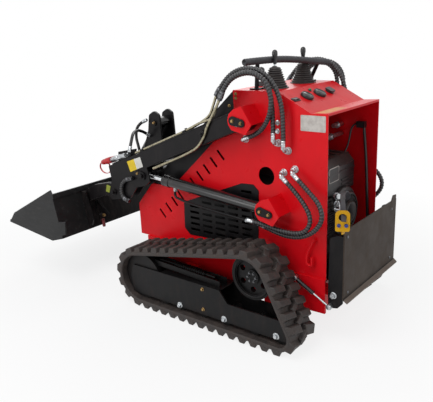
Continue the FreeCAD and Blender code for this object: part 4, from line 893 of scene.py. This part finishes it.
# The boot's radius falls as 57 - 27 h ** 0.8 mm from foot to top, cut 6.2 mm deep between its ribs
rib_count = 8
h = np.linspace(0, 1, rib_count * 9 + 1)
ribbed = 0.0570 - 0.0270 * h ** 0.8 - 0.0062 * (1 - np.cos(2 * np.pi * (rib_count * h + 0.5))) / 2
boot_line = [(0, -0.001), (0.0600, -0.001), (0.0600, 0.003), (0.0570, 0.004)]
boot_line += list(zip(ribbed, 0.005 + 0.076 * h))
boot_line += [(0.0265, 0.0835), (0.022, 0.0875), (0.014, 0.0895), (0.0085, 0.0905), (0.0062, 0.094),
              (0, 0.094)]
knob_line = [(0, 0.102), (0.0068, 0.102), (0.0078, 0.105), (0.0082, 0.116), (0.0105, 0.130), (0.0125, 0.143),
             (0.0116, 0.154), (0.0080, 0.160), (0.0035, 0.1625), (0, 0.163)]
for y in (0.120, -0.120):
    foot = at((0.325, y, 1.085))
    boots.append(turned_part(boot_line, foot, (0, 0, 1), 40))
    stems.append(turned_part([(0, 0.090), (0.0055, 0.090), (0.0055, 0.102), (0, 0.102)], foot, (0, 0, 1), 16))
    knobs.append(turned_part(knob_line, foot, (0, 0, 1), 28))
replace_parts(piece("stick_boots", boots, boot_rubber, "body", crease=70), "joysticks")
piece("stick_stems", stems, zinc, "body")
piece("stick_knobs", knobs, knob_plastic, "body", crease=50)
finish_nodes(knob_plastic, "small_levers")

# Hand bar: black enamelled steel tube on two posts behind the hood, with a sleeve of closed-cell foam
# pushed over it, which the driver leans on and holds.
finish_nodes(black_coat, "grab_bar")
# Nitrile foam: soft grey-black skin with small pores, worn paler along the top
foam = moulded("closed-cell foam grip", "#2b2b2e", "#37373a", rough=0.6, grain=1.6, depth=0.6, dust="#77757a",
               dusty=0.35)
line = smooth_line(at((0.380, 0.272, 1.204), (0.352, 0.130, 1.207), (0.318, -0.040, 1.198),
                      (0.270, -0.265, 1.168)))
line, gone_along = evenly(line, 0.004)
swell = 0.0150 + 0.0004 * np.cos(2 * np.pi * gone_along / 0.018)
swell[[0, -1]] = 0.0132
grip = carried(swell[:, None, None] * round_section(1.0, 20), line, (0, 0, 1))
piece("grab_bar_grip", [grip], foam, "body", crease=60)


# Engine bay: an air-cooled petrol engine across the open rear, with a black plastic cowl on top and a
# round starter housing on its rear face. Oil tubes, a throttle cable and a stay hang on the right wall.
def brick(low, high):
    """Box between two corners measured from the rear edge: each corner picks low or high for X, Y, Z."""
    low, high = np.array(low, float), np.array(high, float)
    pick = np.array([(0, 0, 0), (1, 0, 0), (1, 1, 0), (0, 1, 0), (0, 0, 1), (1, 0, 1), (1, 1, 1), (0, 1, 1)])
    faces = [(0, 3, 2, 1), (4, 5, 6, 7), (0, 1, 5, 4), (1, 2, 6, 5), (2, 3, 7, 6), (3, 0, 4, 7)]
    return at(*(low + pick * (high - low))), faces


# Cast aluminium, darkened by oil and heat
cast_metal = metal("oily cast aluminium", "#4c4846", "#2d2a29", rough=0.42, spots=16, depth=0.5, metallic=0.8)
# Glass-filled nylon, moulded: satin black with dust on its ledges
cowl_plastic = moulded("black engine cowl plastic", "#161517", "#1f1d1f", rough=0.30, grain=2.5, dusty=0.3)
finish_nodes(cast_metal, "engine_block")
finish_nodes(cowl_plastic, "engine_cover")
cowl = [brick((0.0935, -0.208, 0.688), (0.403, 0.153, 0.697)),
        brick((0.0945, -0.190, 0.700), (0.100, 0.140, 0.722))]
for z in (0.612, 0.630, 0.648):
    cowl.append(brick((0.0925, -0.196, z), (0.099, -0.075, z + 0.007)))
for y in (-0.170, -0.110, -0.050, 0.010, 0.070, 0.120):
    cowl.append(brick((0.140, y, 0.757), (0.330, y + 0.010, 0.764)))
collar = [(0.090, 0), (0.116, 0), (0.116, 0.014), (0.110, 0.020), (0.094, 0.020), (0.090, 0.016), (0.090, 0)]
cowl.append(turned_part(collar, at((0.096, -0.084, 0.505)), (-1, 0, 0), 48))
piece("engine_cowl_details", cowl, cowl_plastic, "body", bevel=0.002)
badge = rounded([(-0.046, 0.660), (0.046, 0.660), (0.046, 0.728), (-0.046, 0.728)], 0.006)
inner = rounded([(-0.042, 0.664), (0.042, 0.664), (0.042, 0.724), (-0.042, 0.724)], 0.004)
piece("cowl_badge_rim", [tile(badge, at((0.0962, 0, 0)), (0, -1, 0), (0, 0, 1), 0.002)], plate_metal, "body")
piece("cowl_badge", [tile(inner, at((0.0944, 0, 0)), (0, -1, 0), (0, 0, 1), 0.0008)], black_plastic, "body")

hub = at((0.094, -0.084, 0.505))
rim = [(0, 0), (0.092, 0), (0.092, 0.030), (0.088, 0.037), (0.083, 0.037), (0.081, 0.033), (0.081, 0.018),
       (0, 0.018)]
cap = [(0, 0.016), (0.050, 0.016), (0.050, 0.044), (0.046, 0.050), (0.030, 0.052), (0, 0.052)]
housing = [turned_part(rim, hub, (-1, 0, 0), 56), turned_part(cap, hub, (-1, 0, 0), 40)]
fin = [(0.049, -0.0022), (0.082, -0.0030), (0.082, 0.0030), (0.049, 0.0022)]
for a in np.linspace(0, 2 * np.pi, 28, endpoint=False):
    radial, turn = np.array((0, np.cos(a), np.sin(a))), np.array((0, -np.sin(a), np.cos(a)))
    housing.append(tile(fin, hub + (-0.017, 0, 0), radial, turn, -0.017))
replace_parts(piece("starter_housing", housing, cowl_plastic, "body", crease=40), "recoil_starter")
finned = [brick((0.066, 0.020, 0.440 + 0.011 * i), (0.100, 0.160, 0.444 + 0.011 * i)) for i in range(12)]
finned.append(brick((0.082, 0.030, 0.436), (0.100, 0.150, 0.580)))
piece("engine_head_fins", finned, cast_metal, "body")
bits = [turned_part([(0, 0), (0.016, 0), (0.016, 0.022), (0.012, 0.026), (0.012, 0.040), (0, 0.040)],
                    at((0.078, 0.030, 0.606)), (-0.5, 0.3, 0.1), 24)]
bits += bolt(at((0.060, 0.052, 0.575)), (-1, 0, 0), 0.018)
route = ((0.060, 0.075, 0.560), (0.050, 0.050, 0.545), (0.056, 0.020, 0.548), (0.075, 0.000, 0.570))
bits.append(carried(round_section(0.0075), smooth_line(at(*route)), (1, 0, 0)))
for y_from, y_to, z in ((-0.130, -0.236, 0.884), (-0.060, -0.236, 0.838)):
    tube_line = np.linspace(at((0.170, y_from, z + 0.006)), at((0.180, y_to, z)), 12)
    bits.append(carried(round_section(0.0105), tube_line, (0, 0, 1)))
    bits.append(turned_part([(0, 0), (0.017, 0), (0.017, 0.012), (0.014, 0.016), (0, 0.016)],
                            at((0.172, y_from - 0.040, z + 0.004)), (0, -1, 0), 6))
piece("engine_steel_bits", bits, zinc, "body")
hung = [brick((0.056, -0.241, 0.874), (0.096, -0.214, 0.902))]
stay = ((0.064, -0.228, 0.892), (0.058, -0.228, 0.836), (0.046, -0.228, 0.720), (0.036, -0.226, 0.560),
        (0.028, -0.226, 0.400))
cable = ((0.094, -0.222, 0.893), (0.120, -0.220, 0.884), (0.126, -0.212, 0.826), (0.134, -0.205, 0.775),
         (0.150, -0.190, 0.740))
for route, radius in ((stay, 0.0068), (cable, 0.0045)):
    hung.append(carried(round_section(radius), smooth_line(at(*route)), (0, 1, 0)))
piece("bay_stay_and_cable", hung, hose_rubber, "body", crease=60)
# The bulkhead in front of the engine, a dark sheet that stands in for the bay's shade, and the oil tank
# behind the side louvres, both enamelled black
bulkhead_for_shade_and_tank = [brick((0.476, -0.236, 0.155), (0.480, 0.236, 0.930)),
          brick((0.500, -0.205, 0.240), (0.850, 0.205, 0.640))]
piece("shade_bulkhead_and_tank", bulkhead_for_shade_and_tank, black_coat, "body", bevel=0.004)

# Quick couplers: two flat-face hydraulic couplers on the left arm's end plate, under red dust caps that
# hang on a moulded strap; a ribbed hose loops over the plate's outer side.
finish_nodes(black_coat, "coupler_block")
# Soft red PVC, moulded: an even red with a slight gloss
red_cap = moulded("red moulded dust cap", "#c2161d", "#ab131a", rough=0.3, grain=3.0, depth=0.15)
way = (1.0, 0.0, -0.3)
body_line = [(0, -0.002), (0.0125, -0.002), (0.0125, 0.030), (0.0118, 0.033), (0.0118, 0.060),
             (0.0140, 0.062), (0.0140, 0.094), (0.0125, 0.098), (0.0125, 0.152), (0, 0.152)]
nut_line = [(0, 0.034), (0.0150, 0.034), (0.0150, 0.052), (0, 0.052)]
cap_line = [(0.0120, 0.118), (0.0158, 0.118), (0.0165, 0.122), (0.0165, 0.158), (0.0145, 0.164),
            (0.0145, 0.180), (0.0120, 0.192), (0, 0.194), (0, 0.153), (0.0120, 0.153), (0.0120, 0.118)]
couplers, caps = [], []
for y in (0.288, 0.314):
    foot = at((1.112, y, 0.741))
    couplers += [turned_part(body_line, foot, way, 32), turned_part(nut_line, foot, way, 6)]
    caps.append(turned_part(cap_line, foot, way, 28))
line = smooth_line(at((1.290, 0.288, 0.686), (1.330, 0.290, 0.684), (1.352, 0.293, 0.652),
                      (1.318, 0.298, 0.622), (1.262, 0.304, 0.626), (1.238, 0.310, 0.658),
                      (1.250, 0.314, 0.690)))
flat = [(-0.004, -0.0014), (0.004, -0.0014), (0.004, 0.0014), (-0.004, 0.0014)]
caps.append(carried(flat, line, (0, 1, 0)))
piece("quick_couplers", couplers, zinc, "arms")
piece("dust_caps", caps, red_cap, "arms")
line = smooth_line(at((1.066, 0.335, 0.628), (1.100, 0.335, 0.622), (1.134, 0.335, 0.596),
                      (1.148, 0.335, 0.556), (1.140, 0.335, 0.518), (1.102, 0.335, 0.508)))
wound, guard = hose(line, 0.0105)
piece("end_plate_hose", [wound], hose_rubber, "arms", crease=60, marks=guard)
tips = ferrule(line[0], line[4] - line[0], 0.0120) + ferrule(line[-1], line[-5] - line[-1], 0.0120)
piece("end_plate_hose_tips", tips, dull_zinc, "arms")

# Quick hitch: thick welded plate behind the bucket, with a sprung latch on each side that a red-sleeved
# handle throws; black enamel, rubbed pale along its top bar.
hitch_coat = coated("black enamel on the hitch plate", "#131112", "#1a1718", "#544a45", "#8a8783", gloss=0.34,
                    wear=0.05, dust_top=1.2, dusty=0.4)
finish_nodes(hitch_coat, "quick_hitch", "hitch_levers")
# Dipped PVC: dull dark red, dirty from gloves and soil
sleeve_red = moulded("dark red dipped sleeve", "#7c1a18", "#5e1513", rough=0.4, grain=3.0, dusty=0.4)
sleeve = [(0, -0.001), (0.0088, -0.001), (0.0096, 0.003), (0.0096, 0.040), (0.0070, 0.047), (0, 0.0475)]
heads, sleeves = [], []
for side in (1, -1):
    heads += bolt(at((1.4100, side * 0.250, 0.352)), (-1, 0, 0), 0.014, washer=1.25)
    sleeves.append(turned_part(sleeve, at((1.4226, side * 0.250, 0.326)), (0, -0.1 * side, -1), 20))
piece("hitch_lever_bolts", heads, brass_plate, "bucket")
piece("hitch_lever_sleeves", sleeves, sleeve_red, "bucket")

# Bucket: welded from 8 mm plate with a 14 mm cutting edge. Outside it keeps its charcoal enamel; inside,
# soil has rubbed it down to dull grey steel.
bucket_coat, tree, shader, coords = new_material("charcoal enamel, rubbed inside", IOR=1.5,
                                                 Specular_IOR_Level=0.25)
parts = add_node(tree, "SeparateXYZ", {0: coords}).outputs
own = add_node(tree, "VectorTransform", {0: add_node(tree, "NewGeometry").outputs["Normal"]},
               vector_type="NORMAL", convert_from="WORLD", convert_to="OBJECT")
# The inside is what faces forward and up between the cheeks
facing = add_node(tree, "VectorMath", {0: own, 1: (0.75, 0.0, 0.66)}, operation="DOT_PRODUCT")
facing = add_node(tree, "MapRange", {0: facing, 1: -0.2, 2: -0.1})
wide = add_node(tree, "Math", {0: parts["Y"]}, operation="ABSOLUTE")
inner_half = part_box("bucket")[1].y - 0.004
between = add_node(tree, "MapRange", {0: wide, 1: inner_half, 2: inner_half - 0.001})
inner = add_node(tree, "Math", {0: facing, 1: between}, operation="MULTIPLY")
along = add_node(tree, "Mapping", {"Vector": coords, "Scale": (0.25, 1.0, 1.0)})
paint = layered(tree, "#161617", (blotches(tree, coords, 190, 0.35, 0.65), "#1e1e1e"),
                (blotches(tree, along, 22, 0.56, 0.78, 0.0, 0.5, detail=6.0, rough=0.7), "#4c4a48"))
steel = layered(tree, "#55555a", (blotches(tree, along, 22, 0.3, 0.7, detail=6.0, rough=0.7), "#74757a"))
# Up-facing faces near the top are painted paler: partly paint rubbed thin, partly a painted highlight where
# the top light falls.
high_up = add_node(tree, "MapRange", {0: parts["Z"], 1: 0.515, 2: 0.522})
upward = add_node(tree, "MapRange", {0: add_node(tree, "SeparateXYZ", {0: own}).outputs["Z"], 1: 0.3, 2: 0.6,
                                     3: 0.0, 4: 0.8})
top_wear_and_highlight = add_node(tree, "Math", {0: high_up, 1: upward}, operation="MULTIPLY")
soft = add_node(tree, "Bevel", {"Radius": 0.0012}, samples=4)
plug(tree, shader, {
    "Base Color": layered(tree, paint, (inner, steel), (top_wear_and_highlight, "#6d6c6e")),
    "Metallic": add_node(tree, "Math", {0: inner, 1: 0.55}, operation="MULTIPLY"),
    "Roughness": blotches(tree, along, 22, 0.3, 0.7, 0.34, 0.56, detail=6.0, rough=0.7),
    "Normal": lumpy(tree, coords, 5, 0.25, 0.5, soft, detail=4.0)})
finish_nodes(bucket_coat, "bucket")

# Platform: a folded steel tread plate on two side arms. It is painted a soft grey-black, pressed with small
# studs against slipping, and held up by a yellow catch and two gas struts. Its lip has a painted highlight.
tread_paint = coated("textured grey-black platform paint", "#3a312b", "#433a33", "#5b5048", "#7b756e",
                     gloss=0.46, wear=0.02, dust_top=0.9, dusty=0.35, peel=0.5, shine=0.12)
tree = tread_paint.node_tree
shader = tree.nodes["Principled BSDF"]
parts = add_node(tree, "SeparateXYZ", {0: add_node(tree, "TexCoord").outputs["Object"]}).outputs
fold = at((-0.093, 0, 0))[0]
# A painted shadow line, near-black, low down at the fold next to the lip.
behind = add_node(tree, "MapRange", {0: parts["X"], 1: fold + 0.001, 2: fold - 0.001})
low_down = add_node(tree, "MapRange", {0: parts["Z"], 1: 0.249, 2: 0.245})
painted_shadow_line = add_node(tree, "Math", {0: behind, 1: low_down}, operation="MULTIPLY")
# The lip's face is painted paler, a painted highlight along its lit edge.
lip_highlight = add_node(tree, "MapRange", {0: parts["X"], 1: fold - 0.002, 2: fold - 0.004})
painted = shader.inputs["Base Color"].links[0].from_socket
plug(tree, shader, {"Base Color": layered(tree, painted, (painted_shadow_line, "#0e0c0b"), (lip_highlight, "#75685f"))})
finish_nodes(tread_paint, "platform_deck")
button = [(0, -0.0005), (0.0070, -0.0005), (0.0066, 0.0020), (0.0040, 0.0038), (0, 0.0042)]
heads = []
for y, z in ((0.241, 0.510), (0.228, 0.259), (-0.215, 0.505), (-0.215, 0.262)):
    heads.append(turned_part(button, at((-0.093, y, z)), (-1, 0, 0), 20))
hinge_heads = side_bolts([(-0.046, 0.245)], 0.265, 0.020, 1.3)
piece("platform_bolts", heads, dull_zinc, "platform")
piece("platform_hinge_bolts", hinge_heads, zinc, "platform")
tab = rounded([(-0.180, 0.500), (-0.264, 0.500), (-0.264, 0.564), (-0.226, 0.568)], 0.006)
piece("platform_tab", [tile([(-y, z) for y, z in tab], at((-0.0935, 0, 0)), (0, -1, 0), (0, 0, 1), -0.004)],
      tread_paint, "platform", bevel=0.001)
# Yellow powder coat: hard and even, chipped to grey metal round its hole and edges
latch_coat = coated("yellow powder coat on catch", "#e0a91c", "#d09a17", "#7c6a3a", "#8c8881", wear=0.03,
                    dust_top=0.9, dusty=0.3)
finish_nodes(latch_coat, "platform_latch")
# Blue-passivated zinc: a bright, saturated blue metal
blue_plate = metal("blue-passivated button bolts", "#41509a", "#303c78", rough=0.3, metallic=0.7)
outward = np.array((-0.454, 0.891, 0.0))
button = [(0, -0.0005), (0.0080, -0.0005), (0.0080, 0.003), (0.0064, 0.0055), (0.0035, 0.0062),
          (0.0030, 0.0040), (0, 0.0040)]
heads = []
for x, y in ((-0.0790, 0.2946), (-0.1050, 0.2814)):
    heads.append(turned_part(button, at((x, y, 0.5740)) + 0.003 * outward, outward, 24))
piece("latch_bolts", heads, blue_plate, "platform")
# Polyester webbing: dull grey-black, its weave drawn 1.4 mm coarse so that it shows
webbing = moulded("grey woven webbing", "#3c3b40", "#2c2b2f", rough=0.6, grain=1.4, depth=0.9, dusty=0.3)
line = smooth_line(at((-0.106, 0.306, 0.598), (-0.094, 0.284, 0.610), (-0.085, 0.273, 0.650),
                      (-0.070, 0.249, 0.684), (-0.045, 0.185, 0.684), (-0.020, 0.100, 0.652),
                      (-0.004, 0.060, 0.610)))
flat = [(-0.010, -0.0016), (0.010, -0.0016), (0.010, 0.0016), (-0.010, 0.0016)]
piece("latch_strap", [carried(flat, line, (0.62, 0.78, 0))], webbing, "platform")

# Gas struts: drawn steel tubes in black enamel with chromed rods, which ease the platform down; their
# zinc-plated ball ends snap on studs on the rails and on the platform's side arms.
finish_nodes(cylinder_enamel, "strut_barrel_left", "strut_barrel_right")
ball = [(0, -0.0150), (0.0100, -0.0150), (0.0128, -0.0100), (0.0130, 0.0060), (0.0110, 0.0095),
        (0.0060, 0.0112), (0, 0.0115)]
for side, hand in ((1, "left"), (-1, "right")):
    for x, z, body in ((0.135, 0.287, f"strut_barrel_{hand}"), (-0.032, 0.192, f"strut_rod_{hand}")):
        piece(f"{body}_ball", [turned_part(ball, at((x, side * 0.275, z)), (0, side, 0), 28)], zinc, body)
